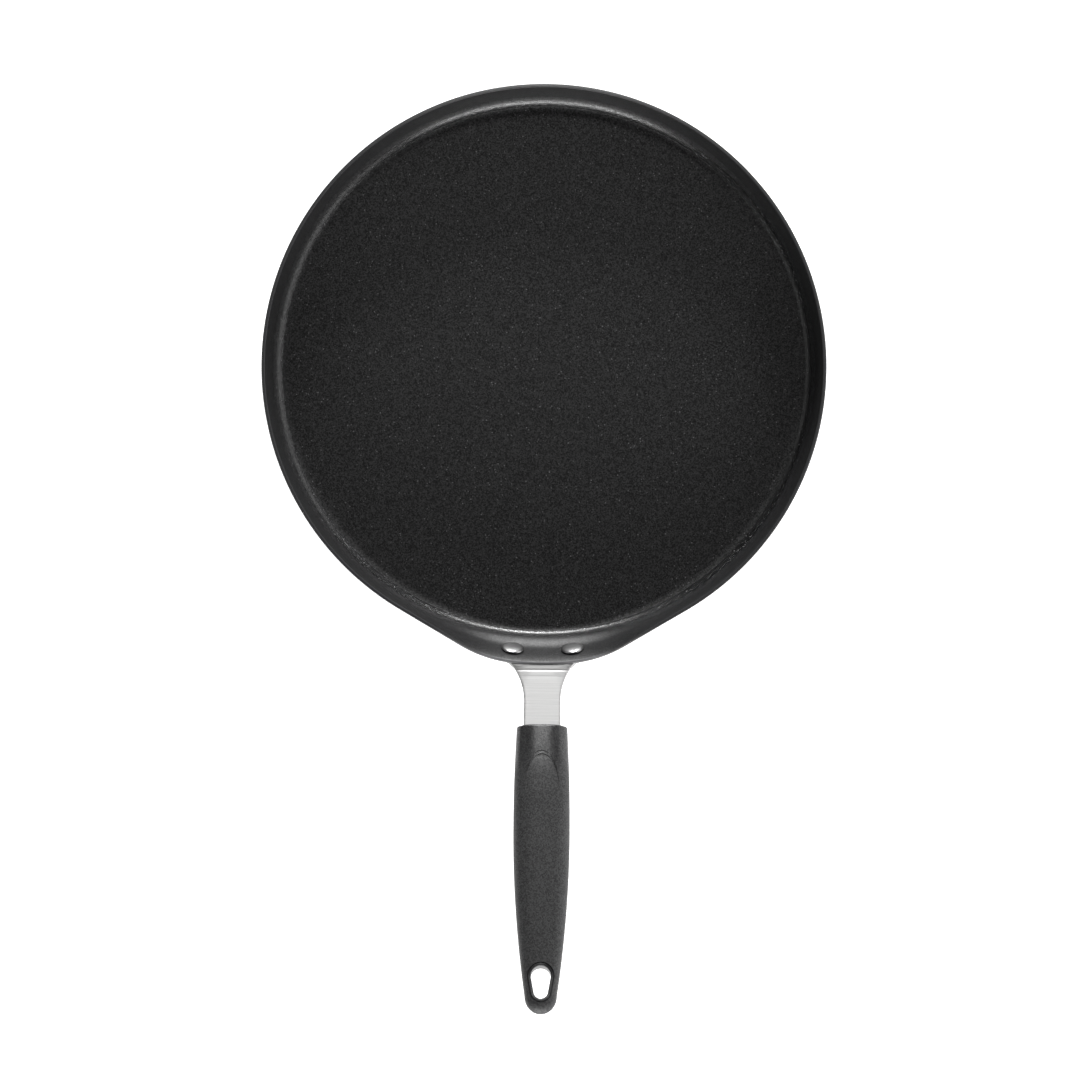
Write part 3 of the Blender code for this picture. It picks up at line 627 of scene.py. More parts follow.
def coating_finish(colours, pan):
    """Black coating: coarse and flecked on floor and corner, satin on the wall, lip and outside."""
    material, tree, shader = new_finish("black nonstick coating")
    place = object_place(tree)
    flat = add_node(tree, "ShaderNodeVectorMath", {0: place, 1: (1, 1, 0)}, operation="MULTIPLY")
    radius = add_node(
        tree, "ShaderNodeVectorMath", {0: flat.outputs["Vector"]}, operation="LENGTH"
    ).outputs["Value"]
    y = add_node(tree, "ShaderNodeSeparateXYZ", {0: place}).outputs["Y"]

    floor_end, foot = floor_radius(pan), plain_wall_foot(pan)[0]
    gloss_at = mix(floor_end, foot, CORNER_GLOSS_AT)
    corner_end = mix(floor_end, foot, CORNER_END)
    inside = mesh_flag(tree, "inside")
    rim = mesh_flag(tree, "cut_face")
    coarse = fade_at(tree, radius, foot, GRAIN_FADE, 1.0, WALL_GRAIN) * inside
    floor = fade_at(tree, radius, corner_end, CORNER_FADE, 1.0, 0.0) * inside
    corner = fade_at(tree, radius, gloss_at, GLOSS_FADE)
    # Painted reflection: the cut face is painted lighter towards the lip, where it would mirror the
    # bright strap; the same mask makes it rougher there
    worn_and_sheened = ramp(tree, y, -pan.painted_sheen_by, -pan.painted_sheen_from, 1.0, 0.0)

    _, chance = cells(tree, place, COATING_GRAINS)
    mottle = ramp(tree, chance, 0.25, 1.0) * coarse
    fleck_distance, fleck_chance = cells(tree, place, COATING_FLECKS)
    chosen = ramp(tree, fleck_chance, FLECK_FROM, 1.0)
    fleck = ramp(tree, fleck_distance, FLECK_CORE, FLECK_EDGE, 1.0, 0.0) * chosen * coarse
    clouds = noise(tree, place, COATING_CLOUDS, 3.0, 0.55)
    fine = noise(tree, place, COATING_FINE_GRAINS, 2.0, 0.6)

    dark = mottled(tree, mottle, colours.coating, COATING_SHADES)
    soft = mottled(tree, chance, colours.satin, SATIN_SHADES)
    base = blend_colours(tree, floor, soft, dark)
    tinted = blend_colours(tree, clouds * 0.25, base, shaded(colours.coating, CLOUD_SHADE))
    # The lip's cut face in its painted lighter shade, standing in for a reflection
    painted_rim_colour = blend_colours(tree, worn_and_sheened, colours.rim, shaded(colours.rim, PAINTED_RIM_SHEEN))
    tinted = blend_colours(tree, rim, tinted, painted_rim_colour)
    feed(tree, shader.inputs["Base Color"], blend_colours(tree, fleck, tinted, colours.flecks))

    rough_floor = ramp(tree, corner, 0.0, 1.0, FLOOR_ROUGHNESS, CORNER_ROUGHNESS)
    rough = rough_floor * floor + (1.0 - floor) * SATIN_ROUGHNESS
    rough = rough + (clouds - 0.5) * 0.06 + rim * (worn_and_sheened * 0.3 - 0.1)
    feed(tree, shader.inputs["Roughness"], rough)
    lumps = noise(tree, place, COATING_LUMPS, 1.0)
    grain = (chance * 0.5 + lumps + fleck * 0.6) * coarse
    grain = grain * (corner * floor * 1.6 + 1.0) + fine * 0.2
    feed(tree, shader.inputs["Normal"], bump(tree, grain, COATING_DEPTH, 0.7))
    level = (chance - 0.5) * (coarse * 0.26 + 0.1) + corner * 0.16 + 0.34
    feed(tree, shader.inputs["Specular IOR Level"], level)
    return material


def steel_finish(colours):
    """Stainless steel brushed across the strap, along X."""
    material, tree, shader = new_finish("brushed stainless steel")
    fine, middle, broad = [brushed_layer(tree, *layer) for layer in BRUSHED_LINES]
    lines = fine + middle + broad
    steel = mottled(tree, ramp(tree, lines, 0.36, 0.64), colours.steel, STEEL_SHADES)
    feed(tree, shader.inputs["Base Color"], steel)
    feed(tree, shader.inputs["Roughness"], ramp(tree, lines, 0.35, 0.65, *STEEL_ROUGHNESS))
    feed(tree, shader.inputs["Normal"], bump(tree, lines, STEEL_DEPTH, 0.5))
    tangent = add_node(tree, "ShaderNodeTangent", direction_type="RADIAL", axis="X")
    feed(tree, shader.inputs["Tangent"], tangent.outputs["Tangent"])
    shader.inputs["Metallic"].default_value = 1.0
    shader.inputs["Anisotropic"].default_value = STEEL_ANISOTROPY
    return material


def rivet_finish(colours):
    """Polished rivets with faint tumbling marks."""
    material, tree, shader = new_finish("polished rivet")
    marks = noise(tree, object_place(tree), RIVET_MARKS, 3.0, 0.6)
    feed(tree, shader.inputs["Base Color"], mottled(tree, marks, colours.rivet, RIVET_SHADES))
    feed(tree, shader.inputs["Roughness"], ramp(tree, marks, 0.3, 0.7, *RIVET_ROUGHNESS))
    feed(tree, shader.inputs["Normal"], bump(tree, marks, RIVET_DEPTH, 0.1))
    shader.inputs["Metallic"].default_value = 1.0
    return material


def plastic_finish(name, plastic, roughness, grain_sizes, worn_and_sheened=None):
    """Moulded plastic with a grain of (count, depth).

    worn is the (roughness, start, end) of a smoother front.
    """
    material, tree, shader = new_finish(name)
    place = object_place(tree)
    count, depth = grain_sizes
    _, chance = cells(tree, place, count)
    grain = noise(tree, place, count, 2.0, 0.6) * 0.7 + chance * 0.3
    wear = noise(tree, place, PLASTIC_WEAR, 3.0, 0.5)
    shade = mottled(tree, chance * 0.6 + wear * 0.4, plastic, PLASTIC_SHADES)
    feed(tree, shader.inputs["Base Color"], shade)
    feed(tree, shader.inputs["Specular IOR Level"], (chance - 0.5) * 0.4 + 0.5)
    base = roughness
    if worn_and_sheened:
        smooth, start, end = worn_and_sheened
        y = add_node(tree, "ShaderNodeSeparateXYZ", {0: place}).outputs["Y"]
        base = ramp(tree, y, -end, -start, roughness, smooth)
    feed(tree, shader.inputs["Roughness"], (wear - 0.5) * 0.1 + (grain - 0.5) * 0.12 + base)
    feed(tree, shader.inputs["Normal"], bump(tree, grain, depth, 0.8))
    return material


# Pan


def up_the_wall(lean):
    return np.array((math.sin(lean), math.cos(lean)))


def out_of_wall(lean):
    return np.array((math.cos(lean), -math.sin(lean)))


def seat_height(pan):
    return pan.rim_height - pan.seat_below_rim


def plain_wall_foot(pan):
    """(radius, height) where the plain wall leaves the inside corner."""
    half = pan.sheet / 2
    rim_radius = pan.rim_radius - half * (1 + math.cos(pan.wall_lean))
    rim_height = pan.rim_height - half * (1 - math.sin(pan.wall_lean))
    height = pan.sheet + pan.floor_fillet * (1 - math.sin(pan.wall_lean))
    return rim_radius - (rim_height - height) * math.tan(pan.wall_lean), height


def floor_radius(pan):
    return plain_wall_foot(pan)[0] - pan.floor_fillet * math.cos(pan.wall_lean)


def seat_point(pan, share=1.0):
    """(radius, height) of the inner face at rivet height, from the plain wall to the lip."""
    foot_radius, foot_height = plain_wall_foot(pan)
    plain = foot_radius + (seat_height(pan) - foot_height) * math.tan(pan.wall_lean)
    return plain + pan.seat_out * share, seat_height(pan)


def curve_between(start, start_lean, end, end_lean, hold=1.0):
    """Points along a smooth curve between two leans; hold is how long it keeps the first one."""
    span = np.linalg.norm(end - start)
    leave = up_the_wall(start_lean) * span * hold
    arrive = up_the_wall(end_lean) * span
    return [
        hermite(start, end, leave, arrive, k / CURVE_STEPS) for k in range(1, CURVE_STEPS + 1)
    ]


def eased_path(path, easing):
    """(point, lean) evenly along a path of points, with its bends eased over a distance."""
    path = np.array(path)
    along = np.concatenate(((0.0,), np.cumsum(np.linalg.norm(np.diff(path, axis=0), axis=1))))
    even = np.linspace(0, along[-1], WALL_STEPS + 1)
    points = np.stack([np.interp(even, along, path[:, axis]) for axis in (0, 1)], axis=1)
    reach = math.ceil(3 * easing / even[1])
    weights = np.exp(-0.5 * (np.arange(-reach, reach + 1) * even[1] / easing) ** 2)
    weights /= weights.sum()
    before = 2 * points[0] - points[reach:0:-1]
    after = 2 * points[-1] - points[-2:-reach - 2:-1]
    padded = np.concatenate((before, points, after))
    eased = np.stack([np.convolve(padded[:, axis], weights, "valid") for axis in (0, 1)], axis=1)
    slopes = np.gradient(eased, axis=0)
    return list(zip(eased, np.arctan2(slopes[:, 0], slopes[:, 1])))


def rim_edge(sheet, lean):
    """Offsets from the middle of the cut edge, from the inner face over the top to the outer."""
    offsets = []
    for k in range(EDGE_STEPS + 1):
        turn = math.pi * k / EDGE_STEPS
        across = math.copysign(abs(math.cos(turn)) ** EDGE_POWER, -math.cos(turn))
        along = abs(math.sin(turn)) ** EDGE_POWER
        offsets.append(sheet / 2 * (across * out_of_wall(lean) + along * up_the_wall(lean)))
    return offsets


def inner_section(pan, share, rim, rim_lean):
    """(point, lean) along the inner face, from the floor's middle to the rim."""
    foot_lean = mix(pan.wall_lean, pan.lip_foot_lean, share)
    seat_lean = mix(pan.wall_lean, pan.seat_lean, share)
    flat = floor_radius(pan) + pan.lip_floor_out * share
    fillet = mix(pan.floor_fillet, pan.lip_fillet, share)
    section = [
        (np.array((flat * k / FLOOR_RINGS, pan.sheet)), math.pi / 2) for k in range(FLOOR_RINGS)
    ]
    middle = np.array((flat, pan.sheet + fillet))
    for k in range(FILLET_STEPS + 1):
        lean = mix(math.pi / 2, foot_lean, k / FILLET_STEPS)
        section.append((middle + fillet * out_of_wall(lean), lean))
    seat = np.array(seat_point(pan, share))
    half_band = pan.seat_half_length * up_the_wall(seat_lean)
    foot = section[-1][0]
    hold = mix(1.0, pan.foot_hold, share)
    wall = [foot, *curve_between(foot, foot_lean, seat - half_band, seat_lean, hold)]
    wall += [seat + half_band, *curve_between(seat + half_band, seat_lean, rim, rim_lean)]
    eased = eased_path(wall, pan.easing)
    return section + eased[1:-1] + [(rim, rim_lean)]


def pan_section(pan, share):
    """(radius, height) round the sheet, with flags that are 1 on the inner and on the cut face."""
    rim_lean = mix(pan.wall_lean, pan.lip_rim_lean, share)
    edge = rim_edge(pan.sheet, mix(pan.face_lean, pan.lip_face_lean, share))
    reach = np.array((pan.rim_radius + pan.lip_reach * share, pan.rim_height - pan.lip_drop * share))
    middle = reach - np.max(edge, axis=0)
    inner = inner_section(pan, share, middle + edge[0], rim_lean)
    outer = [point + pan.sheet * out_of_wall(lean) for point, lean in reversed(inner)]
    points = [point for point, _ in inner] + [middle + offset for offset in edge[1:-1]] + outer
    inside = [1.0] * len(inner) + [0.0] * (len(points) - len(inner))
    cut_face = [0.0] * len(inner) + [1.0] * len(edge[1:-1]) + [0.0] * len(outer)
    return points, {"inside": inside, "cut_face": cut_face}


def section_mesh(pan):
    """The plain section's points, each with its place at the lip and the faces' flags."""
    plain, flags = pan_section(pan, 0.0)
    lip, _ = pan_section(pan, 1.0)
    mesh = bpy.data.meshes.new("pan_section")
    mesh.from_pydata([(radius, 0, height) for radius, height in plain], [], [])
    at_lip = mesh.attributes.new("at_lip", "FLOAT_VECTOR", "POINT")
    at_lip.data.foreach_set("vector", [c for radius, height in lip for c in (radius, 0, height)])
    for name, values in flags.items():
        mesh.attributes.new(name, "FLOAT", "POINT").data.foreach_set("value", values)
    return mesh


def held(tree, name, data_type):
    """Value of a named attribute that the mesh holds."""
    kind = "GeometryNodeInputNamedAttribute"
    return add_node(tree, kind, {"Name": name}, data_type=data_type).outputs["Attribute"]


def sampled(tree, geometry, value, index, data_type):
    """Value at one point of a geometry."""
    inputs = {"Geometry": geometry, "Value": value, "Index": index}
    node = add_node(tree, "GeometryNodeSampleIndex", inputs, data_type=data_type)
    return node.outputs["Value"]


def lip_share(tree, size, turn):
    """How far the rim has moved out to the lip: a front arc, a round corner, a straight flank."""
    rim = Term(tree, size["Rim radius"])
    reach = Term(tree, size["Lip reach"])
    corner = Term(tree, size["Lip corner"])
    off = turn.math("ABSOLUTE")
    front = (Term(tree, size["Lip front"]) / (rim + reach)).math("ARCSINE")
    inner = rim - corner
    flank = front + (inner / (inner + reach)).math("ARCCOSINE")
    middle = rim + reach - corner
    corner_end = flank - (middle * (flank - front).math("SINE") / rim).math("ARCTANGENT")
    past = off - front
    across = middle * past.math("SINE")
    on_corner = middle * past.math("COSINE") + (corner * corner - across * across).math("SQRT") - rim
    on_flank = rim / (flank - off).math("COSINE") - rim
    in_front = off.math("LESS_THAN", front)
    in_corner = off.math("LESS_THAN", corner_end)
    in_flank = off.math("LESS_THAN", flank)
    beyond_corner = on_flank * (in_flank - in_corner)
    at_corner = on_corner * (in_corner - in_front)
    return (reach * in_front + at_corner + beyond_corner) / reach


def pan_tree():
    """Sweeps the section round the pan and moves it out to the lip where the rim has one."""
    inputs = dict.fromkeys(("Rim radius", "Lip reach", "Lip front", "Lip corner"), "NodeSocketFloat")
    inputs.update({"Columns": "NodeSocketInt", "Coating": "NodeSocketMaterial"})
    tree, size = shape_tree("Pressed pan", inputs)
    section = size["Geometry"]
    count = add_node(
        tree, "GeometryNodeAttributeDomainSize", {"Geometry": section}, component="MESH"
    ).outputs["Point Count"]
    columns = Term(tree, size["Columns"])
    grid = add_node(
        tree, "GeometryNodeMeshGrid", {"Vertices X": columns + 1, "Vertices Y": count}
    ).outputs["Mesh"]
    index = Term(tree, add_node(tree, "GeometryNodeInputIndex").outputs["Index"])
    column = ((index + 0.5) / Term(tree, count)).math("FLOOR")
    row = index - column * Term(tree, count)
    turn = column / columns * math.tau - math.pi
    share = lip_share(tree, size, turn)
    here = add_node(tree, "GeometryNodeInputPosition").outputs["Position"]
    at_lip = held(tree, "at_lip", "FLOAT_VECTOR")
    plain_point = sampled(tree, section, here, row, "FLOAT_VECTOR")
    lip_point = sampled(tree, section, at_lip, row, "FLOAT_VECTOR")
    point = blended(tree, "Vector", share, plain_point, lip_point)
    parts = add_node(tree, "ShaderNodeSeparateXYZ", {0: point}).outputs
    radius = Term(tree, parts["X"])
    inputs = {
        "X": radius * turn.math("SINE"),
        "Y": radius * turn.math("COSINE") * -1,
        "Z": parts["Z"],
    }
    swept = add_node(tree, "ShaderNodeCombineXYZ", inputs).outputs["Vector"]
    marked = grid
    for name in ("inside", "cut_face"):
        value = sampled(tree, section, held(tree, name, "FLOAT"), row, "FLOAT")
        inputs = {"Geometry": marked, "Name": name, "Value": value}
        marked = add_node(tree, "GeometryNodeStoreNamedAttribute", inputs).outputs["Geometry"]
    inputs = {"Geometry": marked, "Position": swept}
    moved = add_node(tree, "GeometryNodeSetPosition", inputs).outputs["Geometry"]
    inputs = {"Geometry": moved, "Distance": WELD}
    welded = add_node(tree, "GeometryNodeMergeByDistance", inputs).outputs["Geometry"]
    end_tree(tree, welded, size["Coating"])
    return tree


class GRIDDLE_OT_pan(bpy.types.Operator):
    """Make the pressed pan with its lip"""

    bl_idname = "griddle.pan"
    bl_label = "Pan"

    def execute(self, context):
        pan = context.scene.griddle_pan
        finish = coating_finish(context.scene.griddle_colours, pan)
        piece = new_object("griddle_pan", section_mesh(pan))
        values = {
            "Rim radius": pan.rim_radius,
            "Lip reach": pan.lip_reach,
            "Lip front": pan.lip_front,
            "Lip corner": pan.lip_corner,
            "Columns": pan.columns,
            "Coating": finish,
        }
        grow(piece, pan_tree(), values)
        finish_piece(piece, finish, COATING_SLOT, "griddle_body")
        return {"FINISHED"}


# Rivets


def rivet_place(pan, rivets, side):
    """Rivet frame: origin on the lip's inner face, Z into the pan, square to the seat."""
    radius, height = seat_point(pan)
    turn = side * math.asin(rivets.spacing / 2 / radius)
    outward = Vector((math.sin(turn), -math.cos(turn), 0))
    along = Vector((math.cos(turn), math.sin(turn), 0))
    axis = -outward * math.cos(pan.seat_lean) + Vector((0, 0, math.sin(pan.seat_lean)))
    place = Matrix((along, axis.cross(along), axis)).transposed().to_4x4()
    place.translation = outward * radius + Vector((0, 0, height))
    return place


def dome(radius, height, base, direction):
    """(radius, height) from the middle of a domed head out to its edge."""
    points = []
    for k in range(DOME_STEPS + 1):
        turn = math.pi / 2 * k / DOME_STEPS
        across = math.sin(turn) ** DOME_POWER
        points.append((radius * across, base + direction * height * math.cos(turn) ** DOME_POWER))
    return points


def rivet_mesh(pan, rivets, bracket):
    """Domed head inside the pan, shank through wall and plate, formed tail outside."""
    head_base = bracket.fit
    tail_base = -(pan.sheet + bracket.thickness + 2 * bracket.fit)
    edge = rivets.edge
    head = dome(rivets.head_radius, rivets.head_height - edge, head_base + edge, 1)
    tail = dome(rivets.tail_radius, rivets.tail_height - edge, tail_base - edge, -1)
    middle = [
        (rivets.head_radius - rivets.undercut, head_base),
        (rivets.shank_radius, head_base),
        (rivets.shank_radius, tail_base),
        (rivets.tail_radius - rivets.undercut, tail_base),
    ]
    return turned_mesh("rivet", head + middle + tail[::-1])


def rivet_tree():
    """Sets a rivet on every point, with its axis along the point's own direction."""
    tree, size = shape_tree("Rivets", {"Rivet": "NodeSocketObject", "Metal": "NodeSocketMaterial"})
    rivet = add_node(tree, "GeometryNodeObjectInfo", {"Object": size["Rivet"]})
    axis = held(tree, "axis", "FLOAT_VECTOR")
    turn = add_node(tree, "FunctionNodeAlignRotationToVector", {"Vector": axis}, axis="Z")
    points = add_node(tree, "GeometryNodeMeshToPoints", {"Mesh": size["Geometry"]})
    inputs = {
        "Points": points.outputs["Points"],
        "Instance": rivet.outputs["Geometry"],
        "Rotation": turn.outputs["Rotation"],
    }
    placed = add_node(tree, "GeometryNodeInstanceOnPoints", inputs)
    end_tree(tree, placed.outputs["Instances"], size["Metal"])
    return tree


class GRIDDLE_OT_rivets(bpy.types.Operator):
    """Set the two rivets through the lip"""

    bl_idname = "griddle.rivets"
    bl_label = "Rivets"

    def execute(self, context):
        scene = context.scene
        finish = rivet_finish(scene.griddle_colours)
        places = [rivet_place(scene.griddle_pan, scene.griddle_rivets, side) for side in (-1, 1)]
        mesh = bpy.data.meshes.new("rivets")
        mesh.from_pydata([place.translation for place in places], [], [])
        axes = mesh.attributes.new("axis", "FLOAT_VECTOR", "POINT")
        axes.data.foreach_set("vector", [c for place in places for c in place.col[2].xyz])
        form = rivet_mesh(scene.griddle_pan, scene.griddle_rivets, scene.griddle_bracket)
        rivet = new_object("rivet_form", form)
        piece = grow(new_object("rivets", mesh), rivet_tree(), {"Rivet": rivet, "Metal": finish})
        bpy.data.objects.remove(rivet)
        finish_piece(piece, finish, RIVET_SLOT, "rivet_left", "rivet_right")
        return {"FINISHED"}


# Bracket


def bent_segments(pan, bracket):
    """(length, turn) of the strap's upper face from the plate's foot to the end of the knee."""
    bend = math.pi / 2 - pan.seat_lean - bracket.shelf_slope
    knee = bracket.rise - bracket.shelf_slope
    return [
        (bracket.below_rivets + bracket.above_rivets, 0.0),
        (bracket.bend_radius * bend, -bend),
        (bracket.shelf, 0.0),
        (bracket.knee_radius * knee, knee),
    ]


def path_point(pan, bracket, segments, distance):
    """(radius, height, slope) at a distance along the strap's upper face."""
    seat = np.array(seat_point(pan))
    face = seat + (pan.sheet + bracket.fit) * out_of_wall(pan.seat_lean)
    radius, height = face - bracket.below_rivets * up_the_wall(pan.seat_lean)
    slope = math.pi / 2 - pan.seat_lean
    for reach, turn in segments:
        step = min(distance, reach)
        bent = turn * step / reach
        if turn:
            bend = reach / turn
            radius += bend * (math.sin(slope + bent) - math.sin(slope))
            height -= bend * (math.cos(slope + bent) - math.cos(slope))
        else:
            radius += step * math.cos(slope)
            height += step * math.sin(slope)
        slope += bent
        distance -= step
        if distance <= 0:
            break
    return radius, height, slope


def knee_end(pan, bracket):
    bent = bent_segments(pan, bracket)
    return path_point(pan, bracket, bent, sum(reach for reach, _ in bent))[:2]


def grip_front(pan, bracket):
    """(radius, height) where the strap's upper face enters the grip."""
    radius = pan.rim_radius + pan.lip_reach + bracket.neck
    knee_radius, knee_height = knee_end(pan, bracket)
    return radius, knee_height + (radius - knee_radius) * math.tan(bracket.rise)


def hole_at(grip):
    return grip.length - grip.hole_from_tip


def tang_length(bracket, grip):
    return hole_at(grip) - grip.hole_wide - bracket.tang_to_hole


def lock_holes_at(bracket, grip):
    return bracket.lock_front, tang_length(bracket, grip) - bracket.lock_rear


def bracket_segments(pan, bracket, grip):
    """(length, turn) of the strap's upper face from the plate's foot to the tang's end."""
    neck = (grip_front(pan, bracket)[0] - knee_end(pan, bracket)[0]) / math.cos(bracket.rise)
    return bent_segments(pan, bracket) + [(neck + tang_length(bracket, grip), 0.0)]


def bracket_half_width(bracket, rivets, grip, distance, segments):
    """Half width of the flat pattern: round feet, a rounded top, a hollow flare, a strap, a tang."""
    total = sum(reach for reach, _ in segments)
    into_grip = distance - (total - tang_length(bracket, grip))
    plate = rivets.spacing / 2 + bracket.beside_rivets
    flare_end = total - segments[-1][0] + bracket.flare_runout
    flare_middle = bracket.half_width + bracket.flare
    corner_middle = plate - bracket.top_corner
    joined = bracket.flare + bracket.top_corner
    across = flare_middle - corner_middle
    corner_at = flare_end - math.sqrt(joined**2 - across**2)
    meet = corner_at + bracket.top_corner * (flare_end - corner_at) / joined
    tang_end = total - bracket.tang_half_width
    if distance < bracket.foot_corner:
        inset = bracket.foot_corner - distance
        return plate - bracket.foot_corner + math.sqrt(bracket.foot_corner**2 - inset**2)
    if distance < corner_at:
        return plate
    if distance < meet:
        return corner_middle + math.sqrt(bracket.top_corner**2 - (distance - corner_at) ** 2)
    if distance < flare_end:
        return flare_middle - math.sqrt(bracket.flare**2 - (flare_end - distance) ** 2)
    if distance > tang_end:
        past = min(distance - tang_end, bracket.tang_half_width)
        return max(math.sqrt(bracket.tang_half_width**2 - past**2), bracket.tang_tip_flat)
    taper = (into_grip - bracket.shoulder) / bracket.shoulder_taper
    return mix(bracket.half_width, bracket.tang_half_width, min(max(taper, 0.0), 1.0))


def bracket_stations(bracket, grip, segments):
    """Distances along the flat pattern at which a section is needed."""
    total = sum(reach for reach, _ in segments)
    plate, bend, shelf, knee, _ = [reach for reach, _ in segments]
    shelf_end = plate + bend + shelf
    entry = total - tang_length(bracket, grip)
    taper_end = entry + bracket.shoulder + bracket.shoulder_taper
    quarter = [math.pi / 2 * k / CORNER_STEPS for k in range(CORNER_STEPS + 1)]
    feet = [bracket.foot_corner * (1 - math.cos(turn)) for turn in quarter]
    plates = [
        mix(bracket.foot_corner, plate, k / STRAIGHT_STEPS) for k in range(1, STRAIGHT_STEPS)
    ]
    bends = [mix(plate, plate + bend, k / BEND_STEPS) for k in range(BEND_STEPS + 1)]
    shelves = [mix(plate + bend, shelf_end, k / SHELF_STEPS) for k in range(1, SHELF_STEPS)]
    knees = [shelf_end + knee * k / KNEE_STEPS for k in range(KNEE_STEPS + 1)]
    runout = [knees[-1] + bracket.flare_runout * k / KNEE_STEPS for k in range(1, KNEE_STEPS + 1)]
    neck = [mix(runout[-1], entry, k / STRAIGHT_STEPS) for k in range(1, STRAIGHT_STEPS)]
    shoulder = [entry + bracket.shoulder, taper_end]
    tip = [total - bracket.tang_half_width * (1 - math.sin(turn)) for turn in quarter]
    return feet + plates + bends + shelves + knees + runout + neck + shoulder + tip


def strap_outline(half_width, thickness, edge):
    """(across, depth) round the strap's section: flat faces with eased edges."""
    flat = half_width - edge
    columns = [mix(-flat, flat, k / STRAP_COLUMNS) for k in range(STRAP_COLUMNS + 1)]
    quarter = [math.pi / 2 * k / ROUNDING_STEPS for k in range(1, ROUNDING_STEPS)]
    right = [(flat + edge * math.sin(turn), edge - edge * math.cos(turn)) for turn in quarter]
    right += [(half_width, edge), (half_width, thickness - edge)]
    right += [(x, thickness - depth) for x, depth in right[ROUNDING_STEPS - 2::-1]]
    left = [(-x, depth) for x, depth in reversed(right)]
    return [(x, 0.0) for x in columns] + right + [(x, thickness) for x in columns[::-1]] + left


def crease(bracket, distance, segments):
    """Depth of the two pressed lines across the shelf at a distance along the strap."""
    plate, bend, shelf = [reach for reach, _ in segments[:3]]
    places = (plate + bend + bracket.crease_in, plate + bend + shelf)
    first, second = [math.exp(-(((distance - at) / bracket.crease_reach) ** 2)) for at in places]
    return bracket.crease_depth * (first + bracket.second_crease * second)


def droop(bracket, distance, segments):
    """How strongly the strap's edges bend down: most at the shelf, not at all past the flare."""
    plate, bend, shelf, knee, _ = [reach for reach, _ in segments]
    start = min(max((distance - plate) / bend, 0.0), 1.0)
    end = min(max((distance - plate - bend) / (shelf + knee + bracket.flare_runout), 0.0), 1.0)
    return bracket.droop * start * (1 - end) ** 2


def bracket_ring(settings, distance, segments):
    """Section across the strap, curved round the pan at the plate and flat past the bend."""
    pan, rivets, bracket, grip = settings
    radius, height, slope = path_point(pan, bracket, segments, distance)
    half_width = bracket_half_width(bracket, rivets, grip, distance, segments)
    flatness = min(max((distance - segments[0][0]) / segments[1][0], 0.0), 1.0)
    edge = min(bracket.edge, half_width / 2)
    ring = []
    pressed = crease(bracket, distance, segments)
    bend_down = droop(bracket, distance, segments)
    for x, depth in strap_outline(half_width, bracket.thickness, edge):
        depth += pressed * (1 - depth / bracket.thickness)
        depth += bend_down * max(abs(x) - bracket.droop_from * bracket.half_width, 0.0) ** 2
        rho = radius + depth * math.sin(slope)
        z = height - depth * math.cos(slope)
        ring.append((x, -mix(math.sqrt(rho**2 - x**2), rho, flatness), z))
    return ring


def post_mesh(name, radius, reach, place):
    """Round post or bore, set by a place."""
    mesh = turned_mesh(name, [(0, reach), (radius, reach), (radius, -reach), (0, -reach)])
    mesh.transform(place)
    return mesh


class GRIDDLE_OT_bracket(bpy.types.Operator):
    """Bend the steel bracket"""

    bl_idname = "griddle.bracket"
    bl_label = "Bracket"

    def execute(self, context):
        scene = context.scene
        pan, rivets = scene.griddle_pan, scene.griddle_rivets
        bracket, grip = scene.griddle_bracket, scene.griddle_grip
        segments = bracket_segments(pan, bracket, grip)
        settings = (pan, rivets, bracket, grip)
        rings = [
            bracket_ring(settings, distance, segments)
            for distance in bracket_stations(bracket, grip, segments)
        ]
        piece = new_object("steel_bracket", loft_mesh("steel_bracket", rings))
        reach = 2 * (pan.sheet + bracket.thickness)
        bore = rivets.shank_radius + bracket.fit
        cuts = [
            (post_mesh("rivet_bore", bore, reach, rivet_place(pan, rivets, side)), "DIFFERENCE")
            for side in (-1, 1)
        ]
        handle = grip_place(pan, bracket)
        for along in lock_holes_at(bracket, grip):
            place = handle @ Matrix.Translation((0, along, 0))
            cuts.append((post_mesh("lock_bore", bracket.lock_radius, reach, place), "DIFFERENCE"))
        combine(piece, *cuts)
        finish_piece(piece, steel_finish(scene.griddle_colours), STEEL_SLOT, "handle_bracket")
        return {"FINISHED"}


# Grip


def grip_place(pan, bracket):
    """Grip frame: origin on the strap's middle at the grip's front, X across, Y along, Z up."""
    radius, height = grip_front(pan, bracket)
    along = Vector((0, -math.cos(bracket.rise), math.sin(bracket.rise)))
    across = Vector((-1, 0, 0))
    up = across.cross(along)
    place = Matrix((across, along, up)).transposed().to_4x4()
    place.translation = Vector((0, -radius, height)) - up * bracket.thickness / 2
    return place


def grip_sizes(grip, distance, inset):
    """Half width, height and depth of the grip at a distance from its front, drawn in by inset."""
    tip_at = grip.length - grip.tip_round
    thinning = (grip.tip_taper, grip.tip_thinning, grip.tip_thinning)
    sizes = []
    for front, belly, tip, taper in zip(grip.front, grip.belly, grip.tip, thinning):
        if distance <= grip.belly_at:
            t = max(distance, 0.0) / grip.belly_at
            size = hermite(front, belly, grip.front_flare * grip.belly_at, 0.0, t)
        else:
            span = tip_at - grip.belly_at
            t = min((distance - grip.belly_at) / span, 1.0)
            size = hermite(belly, tip, 0.0, -taper * span, t)
        sizes.append(size - inset)
    past = (distance - tip_at) / (grip.tip_round - inset)
    if past > 0:
        sizes = [size * math.sqrt(max(1 - past**2, 0.0)) for size in sizes]
    return sizes


